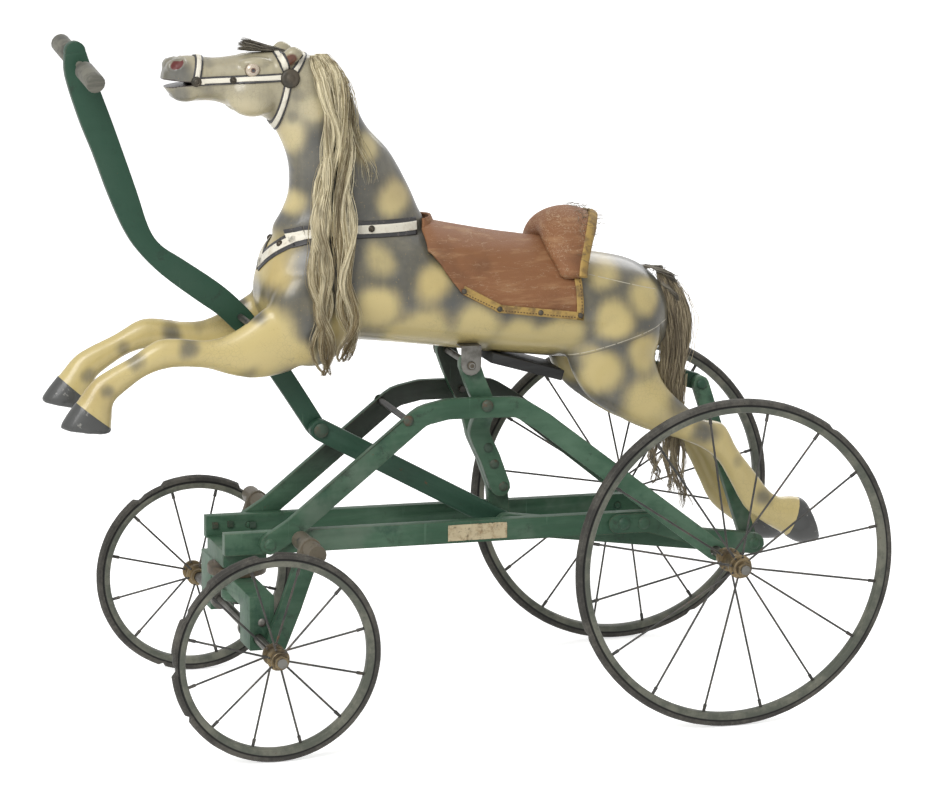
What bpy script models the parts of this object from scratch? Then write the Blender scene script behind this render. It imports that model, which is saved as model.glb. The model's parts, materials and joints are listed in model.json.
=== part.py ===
# Bucking horse toy: a carved horse rocks on a four-wheeled wooden frame when its hand lever is pulled.
# Metres. While it is built, X runs from the rear axle toward the tail, Y toward the horse's right side
# and Z up from the floor. At the end the whole toy is moved so that its origin is its base centre.

import math

import bmesh
import bpy
from mathutils import Matrix, Vector

# Clearances.
GAP = 0.0003
RUNNING = 0.0006
LOOP_PLAY = 0.0018
# How deep a pressed-in piece is sunk into the one it is joined to.
SEAM = 0.0005

# Pivots of the linkage as (x, z).
ROCK_PIVOT = (-0.288, 0.432)
LEVER_PIVOT = (-0.560, 0.494)
ELBOW = (-0.464, 0.352)
POST_FOOT = (-0.230, 0.223)
RUMP_PIN = (0.027, 0.383)
BEAM_PIN = (0.0966, 0.1775)
APEX_BOLT = (-0.2685, 0.382)
TIE_ROD = (-0.368, 0.369)

# Wheels and axles.
REAR_RADIUS = 0.2032
REAR_TRACK = 0.4264
FRONT_RADIUS = 0.127
FRONT_TRACK = 0.4192
WHEELBASE = 0.570
AXLE_RADIUS = 0.006
REAR_SPOKES = 16
FRONT_SPOKES = 12
SPOKE_RADIUS = 0.0014
TYRE_WIDTH = 0.0125
TYRE_DEPTH = 0.0085
RIM_WIDTH = 0.0145
RIM_DEPTH = 0.0085
RIM_WALL = 0.0012
TYRE_SEAT = 0.004
NUT_RADIUS = 0.0095
NUT_LENGTH = 0.006
AXLE_END = 0.004

# Rails and head block.
RAIL_INNER = 0.042
RAIL_WALL = 0.013
RAIL_FRONT = -0.594
RAIL_REAR = -0.030
RAIL_FRONT_Z = (0.213, 0.240)
RAIL_REAR_Z = (0.208, 0.235)
HEAD_BLOCK_REAR = -0.539
HEAD_BLOCK_Z = (0.195, 0.239)
LABEL_X = (-0.3145, -0.2390)
LABEL_Z = (0.2135, 0.2335)
LABEL_WALL = 0.0006
HANGER_WALL = 0.003
HANGER_BOLTS = ((-0.088, 0.222), (-0.062, 0.221))

# A-frames, post and boards.
A_FRAME_WALL = 0.009
A_FRAME_WIDTH = 0.025
A_FRAME_FOOT = (-0.540, 0.226)
A_FRAME_GAP = 0.0005
SPLAY_START = -0.175
SPLAY_Y = 0.145
BOARD_WALL = 0.013
BOARD_WIDTH = 0.026
POST_TOP_Y = 0.0487
POST_WIDTH = 0.025
PIN_RADIUS = 0.005
SMALL_PIN = 0.004
BOLT_HEAD = 0.0075
BOLT_HEAD_DEPTH = 0.0035

# Arch of the rear axle over the tail beam.
ARCH_Y = 0.0345
ARCH_X = -0.046
ARCH_RISE = 0.0395
ARCH_BEND = 0.009

# Front truck.
KINGPIN_X = -0.566
TRUCK_HALF = 0.125
AXLE_BLOCK_INNER = 0.075
AXLE_BLOCK_FOOT = 0.113
BOLSTER_Z = (0.157, 0.179)
BOLSTER_DEPTH = 0.030
STEER_PLATE_Z = (0.1793, 0.190)
BOSS_RADIUS = 0.0195
FOOT_BAR_WALL = 0.009
FOOT_PEG = (-0.508, 0.235)
FOOT_PEG_RADIUS = 0.011
FOOT_PEG_INNER = 0.084
FOOT_PEG_OUTER = 0.165

# Horse.
LEG_Y = 0.045
FAR_FORELEG_LIFT = 3.0
FAR_HIND_LEG_LIFT = 3.5
BELLY_BRACKET_WALL = 0.003
BELLY_BRACKET_RADIUS = 0.0125
BELLY_BRACKET_Y = 0.060
SADDLE_WALL = 0.005
STRAP_WALL = 0.0022
STRAP_WIDTH = 0.011
EYE_RADIUS = 0.0095

# Hand lever.
LEVER_Y = 0.0065
HANDLE_CENTRE = (-0.753, 0.805)
HANDLE_HALF = 0.065
HANDLE_SLANT = (0.008, -0.017)
HANDLE_RADIUS = 0.005
GRIP_RADIUS = 0.0115
GRIP_LENGTH = 0.043

LEFT = -1
RIGHT = 1
SIDES = (("left", LEFT), ("right", RIGHT))


def clear_scene():
    for obj in list(bpy.data.objects):
        bpy.data.objects.remove(obj, do_unlink=True)


clear_scene()
PARTS = bpy.data.collections.new("bucking_horse_toy")
CUTTERS = bpy.data.collections.new("cutters")
for collection in (PARTS, CUTTERS):
    bpy.context.scene.collection.children.link(collection)
CUTTERS.hide_render = True


def paint(name, colour, roughness, metallic=0.0):
    material = bpy.data.materials.new(name)
    material.use_nodes = True
    shader = material.node_tree.nodes["Principled BSDF"]
    shader.inputs["Base Color"].default_value = (*colour, 1)
    shader.inputs["Roughness"].default_value = roughness
    shader.inputs["Metallic"].default_value = metallic
    return material


GREEN = paint("green_paint", (0.055, 0.095, 0.078), 0.55)
WOOD = paint("worn_wood", (0.12, 0.085, 0.055), 0.6)
COAT = paint("cream_coat", (0.62, 0.47, 0.23), 0.35)
LEATHER = paint("red_brown_leather", (0.17, 0.06, 0.035), 0.5)
HAIR = paint("straw_hair", (0.28, 0.21, 0.13), 0.8)
STRAP = paint("white_strap", (0.68, 0.64, 0.55), 0.6)
STEEL = paint("dull_steel", (0.32, 0.31, 0.29), 0.4, 1)
BLACK_STEEL = paint("black_steel", (0.03, 0.03, 0.032), 0.45, 1)
BRASS = paint("brass", (0.46, 0.32, 0.13), 0.4, 1)
RUBBER = paint("grey_rubber", (0.06, 0.055, 0.05), 0.8)
RIM_PAINT = paint("grey_green_rim", (0.11, 0.115, 0.095), 0.55)
GLASS = paint("dark_glass", (0.02, 0.012, 0.008), 0.08)
PAPER = paint("aged_paper", (0.46, 0.38, 0.24), 0.85)


def empty(name, place, parent):
    body = bpy.data.objects.new(name, None)
    PARTS.objects.link(body)
    body.location = place
    if parent:
        body.parent = parent
        body.matrix_parent_inverse = parent.matrix_world.inverted()
    bpy.context.view_layer.update()
    return body


def along_y(pivot):
    return Vector((pivot[0], 0, pivot[1]))


TOY = empty("toy", (0, 0, 0), None)
HORSE = empty("horse_axis", along_y(ROCK_PIVOT), TOY)
LEVER = empty("lever_axis", along_y(LEVER_PIVOT), HORSE)
LINK = empty("link_axis", along_y(ELBOW), LEVER)
PITMAN = empty("pitman_axis", along_y(RUMP_PIN), HORSE)
BEAM = empty("beam_axis", along_y(POST_FOOT), TOY)
TRUCK = empty("truck_axis", (KINGPIN_X, 0, 0), TOY)


def place(name, mesh, material, body):
    obj = bpy.data.objects.new(name, mesh)
    PARTS.objects.link(obj)
    mesh.materials.clear()
    mesh.materials.append(material)
    mesh.shade_smooth()
    mesh.set_sharp_from_angle(angle=math.radians(38))
    obj.parent = body
    obj.matrix_parent_inverse = body.matrix_world.inverted()
    bpy.context.view_layer.update()
    return obj


def helper(name, mesh):
    obj = bpy.data.objects.new(name, mesh)
    CUTTERS.objects.link(obj)
    obj.hide_render = True
    obj.display_type = "WIRE"
    bpy.context.view_layer.update()
    return obj


def mesh_of(bm, name):
    bmesh.ops.recalc_face_normals(bm, faces=bm.faces)
    mesh = bpy.data.meshes.new(name)
    bm.to_mesh(mesh)
    bm.free()
    return mesh


def evaluated_mesh(obj, matrix=None):
    """The object's own mesh after its modifiers, welded and, if asked, moved by a matrix."""
    graph = bpy.context.evaluated_depsgraph_get()
    mesh = bpy.data.meshes.new_from_object(obj.evaluated_get(graph))
    bm = bmesh.new()
    bm.from_mesh(mesh)
    bpy.data.meshes.remove(mesh)
    bmesh.ops.remove_doubles(bm, verts=bm.verts, dist=1e-7)
    if matrix:
        bmesh.ops.transform(bm, matrix=matrix, verts=bm.verts)
    return mesh_of(bm, obj.name)


def combine(mesh, others, operation):
    """The mesh after one exact Boolean with each of the other meshes in turn."""
    for other in others:
        target = helper("target", mesh)
        tool = helper("tool", other)
        step = target.modifiers.new(operation.lower(), "BOOLEAN")
        step.operation = operation
        step.object = tool
        bpy.context.view_layer.update()
        mesh = evaluated_mesh(target)
        for obj in (target, tool):
            bpy.data.objects.remove(obj)
    return mesh


def cut(mesh, *others):
    return combine(mesh, others, "DIFFERENCE")


def united(mesh, *others):
    return combine(mesh, others, "UNION")


def shared(mesh, *others):
    return combine(mesh, others, "INTERSECT")


def grown(mesh, distance):
    """A copy of a mesh with each point moved out along its normal."""
    bm = bmesh.new()
    bm.from_mesh(mesh)
    bm.normal_update()
    moved = [vert.co + vert.normal * distance * vert.calc_shell_factor() for vert in bm.verts]
    for vert, point in zip(bm.verts, moved):
        vert.co = point
    return mesh_of(bm, mesh.name + "_grown")


def box(low, high):
    bm = bmesh.new()
    bmesh.ops.create_cube(bm, size=1)
    low, high = Vector(low), Vector(high)
    bmesh.ops.scale(bm, vec=high - low, verts=bm.verts)
    bmesh.ops.translate(bm, vec=(low + high) / 2, verts=bm.verts)
    return mesh_of(bm, "box")


def together(meshes):
    """Several separate solids as one mesh."""
    bm = bmesh.new()
    for mesh in meshes:
        bm.from_mesh(mesh)
    return mesh_of(bm, "group")


def rod(start, end, radius, sides=12):
    start, end = Vector(start), Vector(end)
    bm = bmesh.new()
    bmesh.ops.create_cone(
        bm, cap_ends=True, segments=sides, radius1=radius, radius2=radius, depth=(end - start).length
    )
    turn = (end - start).to_track_quat("Z", "Y").to_matrix()
    bmesh.ops.rotate(bm, matrix=turn, verts=bm.verts)
    bmesh.ops.translate(bm, vec=(start + end) / 2, verts=bm.verts)
    return mesh_of(bm, "rod")


def pin(centre, y0, y1, radius, sides=12):
    return rod((centre[0], y0, centre[1]), (centre[0], y1, centre[1]), radius, sides)


def hole(centre, radius, y0=-0.2, y1=0.2):
    return pin(centre, y0, y1, radius)


def turned(profile, segments, centre=(0, 0), vertical=False):
    """A profile of (radius, distance) points turned about Y, or Z, with a flat facet at the bottom."""
    half_step = math.pi / segments
    bm = bmesh.new()
    turn = Matrix.Rotation(half_step, 3, "Z")
    points = [bm.verts.new(turn @ Vector((radius, 0, along))) for radius, along in profile]
    ring = profile[0][0] > 0
    for first, second in zip(points, points[1:] + points[:1] if ring else points[1:]):
        bm.edges.new((first, second))
    mesh = bpy.data.meshes.new("profile")
    bm.to_mesh(mesh)
    bm.free()
    obj = helper("profile", mesh)
    screw = obj.modifiers.new("turn", "SCREW")
    screw.steps = screw.render_steps = segments
    screw.use_merge_vertices = True
    screw.merge_threshold = 1e-5
    bpy.context.view_layer.update()
    matrix = Matrix.Translation((centre[0], 0, centre[1]))
    if vertical:
        matrix = Matrix.Translation((centre[0], centre[1], 0))
    else:
        matrix = matrix @ Matrix.Rotation(-math.pi / 2, 4, "X")
    result = evaluated_mesh(obj, matrix)
    bpy.data.objects.remove(obj)
    return result


def rounded(points, radius, steps=2):
    """A polyline with each corner replaced by an arc."""
    points = [Vector(point) for point in points]
    result = [points[0]]
    for before, corner, after in zip(points, points[1:], points[2:]):
        to_before, to_after = (before - corner).normalized(), (after - corner).normalized()
        angle = to_before.angle(to_after)
        reach = min(radius / math.tan(angle / 2), (before - corner).length / 2, (after - corner).length / 2)
        start, end = corner + to_before * reach, corner + to_after * reach
        for index in range(steps + 1):
            share = index / steps
            result.append(start.lerp(corner, share).lerp(corner.lerp(end, share), share))
    return result + [points[-1]]


def band(points, width, end_steps=6, round_start=True):
    """The outline of a strip of one width along a flat polyline, with round ends."""
    points = [Vector(point) for point in points]
    left, right = [], []
    for index, point in enumerate(points):
        ahead = points[min(index + 1, len(points) - 1)] - points[max(index - 1, 0)]
        side = Vector((-ahead.y, ahead.x)).normalized() * width / 2
        left.append(point + side)
        right.append(point - side)

    def round_end(centre, first):
        arm = first - centre
        return [
            centre + Matrix.Rotation(-math.pi * step / end_steps, 2) @ arm for step in range(1, end_steps)
        ]

    start = round_end(points[0], right[0]) if round_start else []
    return left + round_end(points[-1], left[-1]) + right[::-1] + start


def plate(outline, y0, y1):
    """A flat outline of (x, z) points, extruded from y0 to y1."""
    curve = bpy.data.curves.new("outline", "CURVE")
    curve.dimensions = "2D"
    curve.fill_mode = "BOTH"
    curve.extrude = abs(y1 - y0) / 2
    spline = curve.splines.new("POLY")
    spline.points.add(len(outline) - 1)
    for target, point in zip(spline.points, outline):
        target.co = (point[0], point[1], 0, 1)
    spline.use_cyclic_u = True
    obj = bpy.data.objects.new("outline", curve)
    CUTTERS.objects.link(obj)
    bpy.context.view_layer.update()
    stand = Matrix.Translation((0, (y0 + y1) / 2, 0)) @ Matrix.Rotation(math.pi / 2, 4, "X")
    mesh = evaluated_mesh(obj, stand)
    bpy.data.objects.remove(obj)
    return mesh


def wire(points, radius, resolution=2):
    """A round bar along a polyline."""
    curve = bpy.data.curves.new("wire", "CURVE")
    curve.dimensions = "3D"
    curve.bevel_depth = radius
    curve.bevel_resolution = resolution
    curve.use_fill_caps = True
    spline = curve.splines.new("POLY")
    spline.points.add(len(points) - 1)
    for target, point in zip(spline.points, points):
        target.co = (*point, 1)
    obj = bpy.data.objects.new("wire", curve)
    CUTTERS.objects.link(obj)
    bpy.context.view_layer.update()
    mesh = evaluated_mesh(obj)
    bpy.data.objects.remove(obj)
    return mesh


def smooth_rows(rows, steps):
    """Rows of numbers with Catmull-Rom rows between them."""
    result = []
    for index in range(len(rows) - 1):
        before, start = rows[max(index - 1, 0)], rows[index]
        end, after = rows[index + 1], rows[min(index + 2, len(rows) - 1)]
        for step in range(steps):
            t = step / steps
            row = []
            for a, b, c, d in zip(before, start, end, after):
                curve = (2 * a - 5 * b + 4 * c - d) * t**2 + (3 * b - a - 3 * c + d) * t**3
                row.append(0.5 * (2 * b + (c - a) * t + curve))
            result.append(row)
    return result + [list(rows[-1])]


def loft(sections, sides=18, steps=2):
    """A closed skin over sections, each an upright oval given as x0, z0, x1, z1, half width and y."""
    bm = bmesh.new()
    loops = []
    for x0, z0, x1, z1, width, y in smooth_rows(sections, steps):
        middle = Vector(((x0 + x1) / 2, y, (z0 + z1) / 2))
        rise = Vector(((x1 - x0) / 2, 0, (z1 - z0) / 2))
        side = Vector((0, width, 0))
        loops.append([
            bm.verts.new(middle + rise * math.cos(angle) + side * math.sin(angle))
            for angle in (math.tau * index / sides for index in range(sides))
        ])
    for lower, upper in zip(loops, loops[1:]):
        for index in range(sides):
            after = (index + 1) % sides
            bm.faces.new((lower[index], lower[after], upper[after], upper[index]))
    bm.faces.new(loops[0])
    bm.faces.new(loops[-1])
    return mesh_of(bm, "loft")


def turned_sections(sections, pivot, degrees, side):
    """The sections of a limb, swung about a pivot by an angle that lifts the nose, on one side."""
    swing = Matrix.Rotation(-math.radians(degrees), 2)
    centre = Vector(pivot)
    result = []
    for x0, z0, x1, z1, width, y in sections:
        low = swing @ (Vector((x0, z0)) - centre) + centre
        high = swing @ (Vector((x1, z1)) - centre) + centre
        result.append((low.x, low.y, high.x, high.y, width, y * side))
    return result


def bolt(centre, y_head, y_tip, radius=SMALL_PIN, head=BOLT_HEAD, depth=BOLT_HEAD_DEPTH):
    """A round-headed bolt along Y whose head starts at y_head and stands away from y_tip."""
    rise = math.copysign(depth, y_head - y_tip)
    profile = [(0, y_head + rise), (head * 0.6, y_head + rise), (head, y_head + rise * 0.4)]
    profile += [(head, y_head), (radius, y_head), (radius, y_tip), (0, y_tip)]
    return turned(profile, 8, centre)


def wheel_nut(name, centre, hub_end, side, body):
    bore = AXLE_RADIUS + GAP + 0.0002
    start, end = hub_end * side, (hub_end + NUT_LENGTH) * side
    ring = [(bore, start), (NUT_RADIUS, start), (NUT_RADIUS, end), (bore, end)]
    place(name, turned(ring, 8, centre), BRASS, body)


def hub_profile(inner, outer, flanges, barrel, flange):
    """The bored spool of a wheel, as (radius, y) points from its inner end to its outer end."""
    bore = AXLE_RADIUS + RUNNING
    edge = 0.0016
    points = [(bore, inner), (flange * 0.75, inner), (flange * 0.75, inner + 0.006), (barrel, inner + 0.007)]
    for place_y in flanges:
        points += [(barrel, place_y - edge * 1.2), (flange, place_y - edge)]
        points += [(flange, place_y + edge), (barrel, place_y + edge * 1.2)]
    points += [(barrel, outer - 0.007), (flange * 0.8, outer - 0.006), (flange * 0.8, outer), (bore, outer)]
    return points


def wheel(side_name, side, form, body):
    """One wire-spoked wheel: its rim, spokes and hub in one piece, and its solid rubber tyre."""
    end, centre, segments, spokes, hub = (form[key] for key in ("end", "centre", "segments", "spokes", "hub"))
    y = form["track"] / 2 * side
    outer = centre[1] / math.cos(math.pi / segments)
    lip = outer - TYRE_DEPTH
    seat = lip - TYRE_SEAT
    rim_inner = lip - RIM_DEPTH
    half, well = RIM_WIDTH / 2, RIM_WIDTH / 2 - RIM_WALL
    rim = [(rim_inner, -half * 0.8), (lip, -half), (lip, -well), (seat, -well)]
    rim += [(distance, -along) for distance, along in rim[::-1]]
    tread = TYRE_WIDTH / 2
    foot = well - GAP
    tyre = [(seat + GAP, -foot), (lip + GAP, -foot), (outer, -tread * 0.7)]
    tyre += [(distance, -along) for distance, along in tyre[::-1]]

    def at_wheel(profile):
        return turned([(distance, y + along) for distance, along in profile], segments, centre)

    hub_points = [(distance, y + along * side) for distance, along in hub_profile(**hub)]
    wires = []
    root_radius = (hub["barrel"] + hub["flange"]) / 2
    for index in range(spokes):
        angle = math.tau * (index + 0.5) / spokes
        outward = Vector((math.cos(angle), 0, math.sin(angle)))
        flange_y = y + hub["flanges"][index % 2] * side
        start = Vector((centre[0], flange_y, centre[1])) + outward * root_radius
        end_point = Vector((centre[0], y, centre[1])) + outward * (rim_inner + 0.002)
        wires.append(rod(start, end_point, SPOKE_RADIUS, 4))
    mesh = united(at_wheel(rim), together(wires), turned(hub_points, 12, centre))
    wheel_body = empty(f"{end}_{side_name}_wheel_axis", (centre[0], y, centre[1]), body)
    place(f"{end}_wheel_{side_name}", mesh, RIM_PAINT, wheel_body)
    place(f"{end}_tyre_{side_name}", at_wheel(tyre), RUBBER, wheel_body)


REAR_HUB = {"inner": -0.038, "outer": 0.027, "flanges": (-0.020, 0.017), "barrel": 0.0095, "flange": 0.0145}
FRONT_HUB = {"inner": -0.026, "outer": 0.020, "flanges": (-0.014, 0.009), "barrel": 0.0095, "flange": 0.0135}
REAR_AXLE = (0.0, REAR_RADIUS)
FRONT_AXLE = (-WHEELBASE, FRONT_RADIUS)
REAR_WHEEL = {
    "end": "rear", "centre": REAR_AXLE, "track": REAR_TRACK, "spokes": REAR_SPOKES, "segments": 36,
    "hub": REAR_HUB,
}
FRONT_WHEEL = {
    "end": "front", "centre": FRONT_AXLE, "track": FRONT_TRACK, "spokes": FRONT_SPOKES, "segments": 28,
    "hub": FRONT_HUB,
}
REAR_HUB_END = REAR_TRACK / 2 + REAR_HUB["outer"]
FRONT_HUB_END = FRONT_TRACK / 2 + FRONT_HUB["outer"]


def make_wheels():
    for side_name, side in SIDES:
        wheel(side_name, side, REAR_WHEEL, TOY)
        wheel(side_name, side, FRONT_WHEEL, TRUCK)
        wheel_nut(f"rear_wheel_nut_{side_name}", REAR_AXLE, REAR_HUB_END + RUNNING, side, TOY)
        wheel_nut(f"front_wheel_nut_{side_name}", FRONT_AXLE, FRONT_HUB_END + RUNNING, side, TRUCK)


def make_axles():
    reach = REAR_HUB_END + NUT_LENGTH + AXLE_END
    arch = (ARCH_X, REAR_RADIUS + ARCH_RISE)
    corners = [
        (0, -reach, REAR_RADIUS), (0, -ARCH_Y, REAR_RADIUS), (arch[0], -ARCH_Y, arch[1]),
        (arch[0], ARCH_Y, arch[1]), (0, ARCH_Y, REAR_RADIUS), (0, reach, REAR_RADIUS),
    ]
    place("rear_axle", wire(rounded(corners, ARCH_BEND), AXLE_RADIUS), BLACK_STEEL, TOY)
    reach = FRONT_HUB_END + NUT_LENGTH + AXLE_END
    place("front_axle", pin(FRONT_AXLE, -reach, reach, AXLE_RADIUS, 12), BLACK_STEEL, TRUCK)


def a_frame_mesh(side):
    """One bent strap from the rail's front, over the top and down to the rear axle, splayed at the rear."""
    line = [A_FRAME_FOOT, (-0.512, 0.243), (-0.418, 0.319), (-0.350, 0.3735), (-0.318, 0.380)]
    line += [(APEX_BOLT[0], 0.3795), (-0.228, 0.378), (-0.195, 0.357), (0, REAR_RADIUS)]
    outline = band(rounded(line, 0.03), A_FRAME_WIDTH)
    inner = RAIL_INNER + RAIL_WALL + A_FRAME_GAP
    mesh = plate(outline, inner * side, (inner + A_FRAME_WALL) * side)
    bm = bmesh.new()
    bm.from_mesh(mesh)
    everything = bm.verts[:] + bm.edges[:] + bm.faces[:]
    bmesh.ops.bisect_plane(bm, geom=everything, plane_co=(SPLAY_START, 0, 0), plane_no=(1, 0, 0))
    slope = (SPLAY_Y - inner - A_FRAME_WALL / 2) / -SPLAY_START
    for vert in bm.verts:
        if vert.co.x > SPLAY_START:
            vert.co.y += side * slope * (vert.co.x - SPLAY_START)
    return mesh_of(bm, "a_frame")


def make_rails():
    outer = RAIL_INNER + RAIL_WALL
    frame_outer = outer + A_FRAME_GAP + A_FRAME_WALL
    outline = [(RAIL_FRONT, RAIL_FRONT_Z[0]), (RAIL_REAR, RAIL_REAR_Z[0])]
    outline += [(RAIL_REAR, RAIL_REAR_Z[1]), (RAIL_FRONT, RAIL_FRONT_Z[1])]
    rail_holes = [hole(spot, SMALL_PIN + GAP) for spot in (A_FRAME_FOOT, *HANGER_BOLTS)]
    axle_hole = hole(REAR_AXLE, AXLE_RADIUS + RUNNING)
    frame_holes = [hole(spot, SMALL_PIN + GAP) for spot in (APEX_BOLT, TIE_ROD)] + [axle_hole]
    hanger_outline = band(rounded([(-0.096, 0.222), (-0.055, 0.221), REAR_AXLE], 0.03), 0.024)
    hanger_y = (outer + GAP, outer + GAP + HANGER_WALL)
    for side_name, side in SIDES:
        rail = plate(outline, RAIL_INNER * side, outer * side)
        place(f"rail_{side_name}", cut(rail, *rail_holes), GREEN, TOY)
        foot_bolt = bolt(A_FRAME_FOOT, (frame_outer - SEAM) * side, RAIL_INNER * side)
        frame = united(cut(a_frame_mesh(side), *frame_holes), foot_bolt)
        place(f"a_frame_{side_name}", frame, GREEN, TOY)
        apex_head, apex_tip = frame_outer + GAP, POST_TOP_Y - BOARD_WALL / 2 - 0.004
        apex_bolt = bolt(APEX_BOLT, apex_head * side, apex_tip * side)
        place(f"apex_bolt_{side_name}", apex_bolt, BLACK_STEEL, TOY)
        hanger = cut(plate(hanger_outline, hanger_y[0] * side, hanger_y[1] * side), axle_hole)
        rivet_head, rivet_tip = (hanger_y[1] - SEAM) * side, (RAIL_INNER - 0.001) * side
        rivets = [bolt(spot, rivet_head, rivet_tip) for spot in HANGER_BOLTS]
        place(f"axle_hanger_{side_name}", united(hanger, *rivets), BLACK_STEEL, TOY)
    tie_reach = frame_outer + 0.003
    place("tie_rod", pin(TIE_ROD, -tie_reach, tie_reach, SMALL_PIN), BLACK_STEEL, TOY)
    low = (RAIL_FRONT + 0.001, -RAIL_INNER + GAP, HEAD_BLOCK_Z[0])
    high = (HEAD_BLOCK_REAR, RAIL_INNER - GAP, HEAD_BLOCK_Z[1])
    block = cut(box(low, high), rod((KINGPIN_X, 0, 0.1), (KINGPIN_X, 0, 0.3), PIN_RADIUS + GAP, 16))
    place("head_block", block, GREEN, TOY)
    rail_face = -outer - GAP
    low, high = (LABEL_X[0], rail_face - LABEL_WALL, LABEL_Z[0]), (LABEL_X[1], rail_face, LABEL_Z[1])
    place("paper_label", box(low, high), PAPER, TOY)


def post_mesh(side, foot, centre_y):
    """One half of the post: a fork prong at the top that bends in to a board at the middle."""
    line = [ROCK_PIVOT, (-0.281, 0.412), (-0.264, 0.372), (-0.262, 0.335), (-0.248, 0.305)] + foot
    mesh = plate(band(rounded(line, 0.03), POST_WIDTH), -BOARD_WALL / 2, BOARD_WALL / 2)
    bend_top, bend_foot, slices = 0.385, 0.335, 3
    bm = bmesh.new()
    bm.from_mesh(mesh)
    for index in range(slices + 1):
        level = bend_foot + (bend_top - bend_foot) * index / slices
        everything = bm.verts[:] + bm.edges[:] + bm.faces[:]
        bmesh.ops.bisect_plane(bm, geom=everything, plane_co=(0, 0, level), plane_no=(0, 0, 1))
    for vert in bm.verts:
        share = min(max((vert.co.z - bend_foot) / (bend_top - bend_foot), 0), 1)
        eased = (1 - math.cos(math.pi * share)) / 2
        vert.co.y += centre_y + (side * POST_TOP_Y - centre_y) * eased
    return mesh_of(bm, "post")


def make_post():
    bolt_spots = ((-0.251, 0.318), (-0.243, 0.297), (-0.231, 0.268))
    near_y = -BOARD_WALL / 2 - 0.001
    far_y = BOARD_WALL / 2
    pivot_holes = [hole(ROCK_PIVOT, SMALL_PIN + GAP), hole(APEX_BOLT, SMALL_PIN + GAP)]
    left = post_mesh(LEFT, [(-0.2345, 0.268)], near_y)
    right = post_mesh(RIGHT, [(-0.2345, 0.268), POST_FOOT], far_y)
    floor_cut = box((-0.3, -0.1, 0.2), (-0.2, 0.1, 0.256))
    head_y, tip_y = near_y - BOARD_WALL / 2 + SEAM, BOARD_WALL + 0.002
    bolts = [bolt(spot, head_y, tip_y, 0.003, 0.006, 0.0025) for spot in bolt_spots]
    place("post_prong_left", united(cut(left, floor_cut, *pivot_holes), *bolts), GREEN, TOY)
    bolt_holes = [hole(spot, 0.003 + GAP) for spot in bolt_spots]
    right = cut(right, hole(POST_FOOT, PIN_RADIUS + GAP), *pivot_holes, *bolt_holes)
    place("post_prong_right", right, GREEN, TOY)
    reach = BELLY_BRACKET_Y + BELLY_BRACKET_WALL / 2 + 0.003
    place("rocking_pivot_rod", pin(ROCK_PIVOT, -reach, reach, SMALL_PIN), STEEL, TOY)
    foot_pin = bolt(POST_FOOT, -0.0275 - GAP, BOARD_WALL + 0.003, PIN_RADIUS, 0.009)
    place("post_foot_pin", foot_pin, BLACK_STEEL, TOY)


def make_beam_and_links():
    beam_y = (-0.0275, -0.0145)
    tip = (0.110 - BOARD_WIDTH / 2, BEAM_PIN[1] - 0.0002)
    beam = plate(band([POST_FOOT, tip], BOARD_WIDTH), *beam_y)
    beam = united(beam, bolt(BEAM_PIN, beam_y[0] + SEAM, 0.002, PIN_RADIUS, 0.008))
    place("tail_beam", cut(beam, hole(POST_FOOT, PIN_RADIUS + RUNNING)), GREEN, BEAM)
    pitman = plate(band([RUMP_PIN, BEAM_PIN], 0.020), -0.0125, -0.0005)
    pitman = cut(pitman, hole(RUMP_PIN, SMALL_PIN + RUNNING), hole(BEAM_PIN, PIN_RADIUS + RUNNING))
    place("pitman_strap", pitman, GREEN, PITMAN)
    link = plate(band([ELBOW, POST_FOOT], BOARD_WIDTH), -0.014, -0.001)
    link = cut(link, hole(ELBOW, SMALL_PIN + RUNNING), hole(POST_FOOT, PIN_RADIUS + LOOP_PLAY))
    place("drag_link", link, GREEN, LINK)


def lever_outline():
    """The cranked hand lever: a tapering upper board, a knee at the chest and a straight lower board."""
    end_radius = 0.012
    direction = Vector((0.571, -0.821))
    side = Vector((direction.y, -direction.x)) * end_radius
    elbow = Vector(ELBOW)
    turns = [elbow + Matrix.Rotation(math.pi * step / 8, 2) @ side for step in range(9)]
    front = [(-0.769, 0.815), (-0.733, 0.712), (-0.702, 0.606), (-0.688, 0.581), (-0.634, 0.530)]
    front += [(-0.578, 0.488), (-0.556, 0.466), (-0.519, 0.414)]
    rear = [(-0.492, 0.4155), (-0.521, 0.459), (-0.540, 0.490), (-0.558, 0.511), (-0.5765, 0.528)]
    rear += [(-0.646, 0.575), (-0.660, 0.590), (-0.678, 0.650), (-0.700, 0.719), (-0.745, 0.814)]
    return front + turns + rear


def handle_point(along):
    """A point on the handle bar's centre line, at a share of its half length from the lever."""
    slant_x, slant_z = HANDLE_SLANT
    return Vector((
        HANDLE_CENTRE[0] - slant_x * along, LEVER_Y + HANDLE_HALF * along, HANDLE_CENTRE[1] - slant_z * along
    ))


def make_lever():
    y0, y1 = LEVER_Y - BOARD_WALL / 2, LEVER_Y + BOARD_WALL / 2
    bar_hole = rod(handle_point(-0.5), handle_point(0.5), HANDLE_RADIUS + GAP, 12)
    holes = [hole(LEVER_PIVOT, SMALL_PIN + RUNNING), hole(ELBOW, SMALL_PIN + GAP), bar_hole]
    place("hand_lever", cut(plate(lever_outline(), y0, y1), *holes), GREEN, LEVER)
    inner_share = 1 - GRIP_LENGTH / HANDLE_HALF
    grips = [rod(handle_point(inner_share * side), handle_point(side), GRIP_RADIUS, 16) for _, side in SIDES]
    bar = rod(handle_point(-0.9), handle_point(0.9), HANDLE_RADIUS, 12)
    place("handle_bar", united(bar, *grips), WOOD, LEVER)
    place("elbow_bolt", bolt(ELBOW, -0.014 - GAP, y1 + 0.003, SMALL_PIN, 0.0085), BLACK_STEEL, LEVER)


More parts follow.
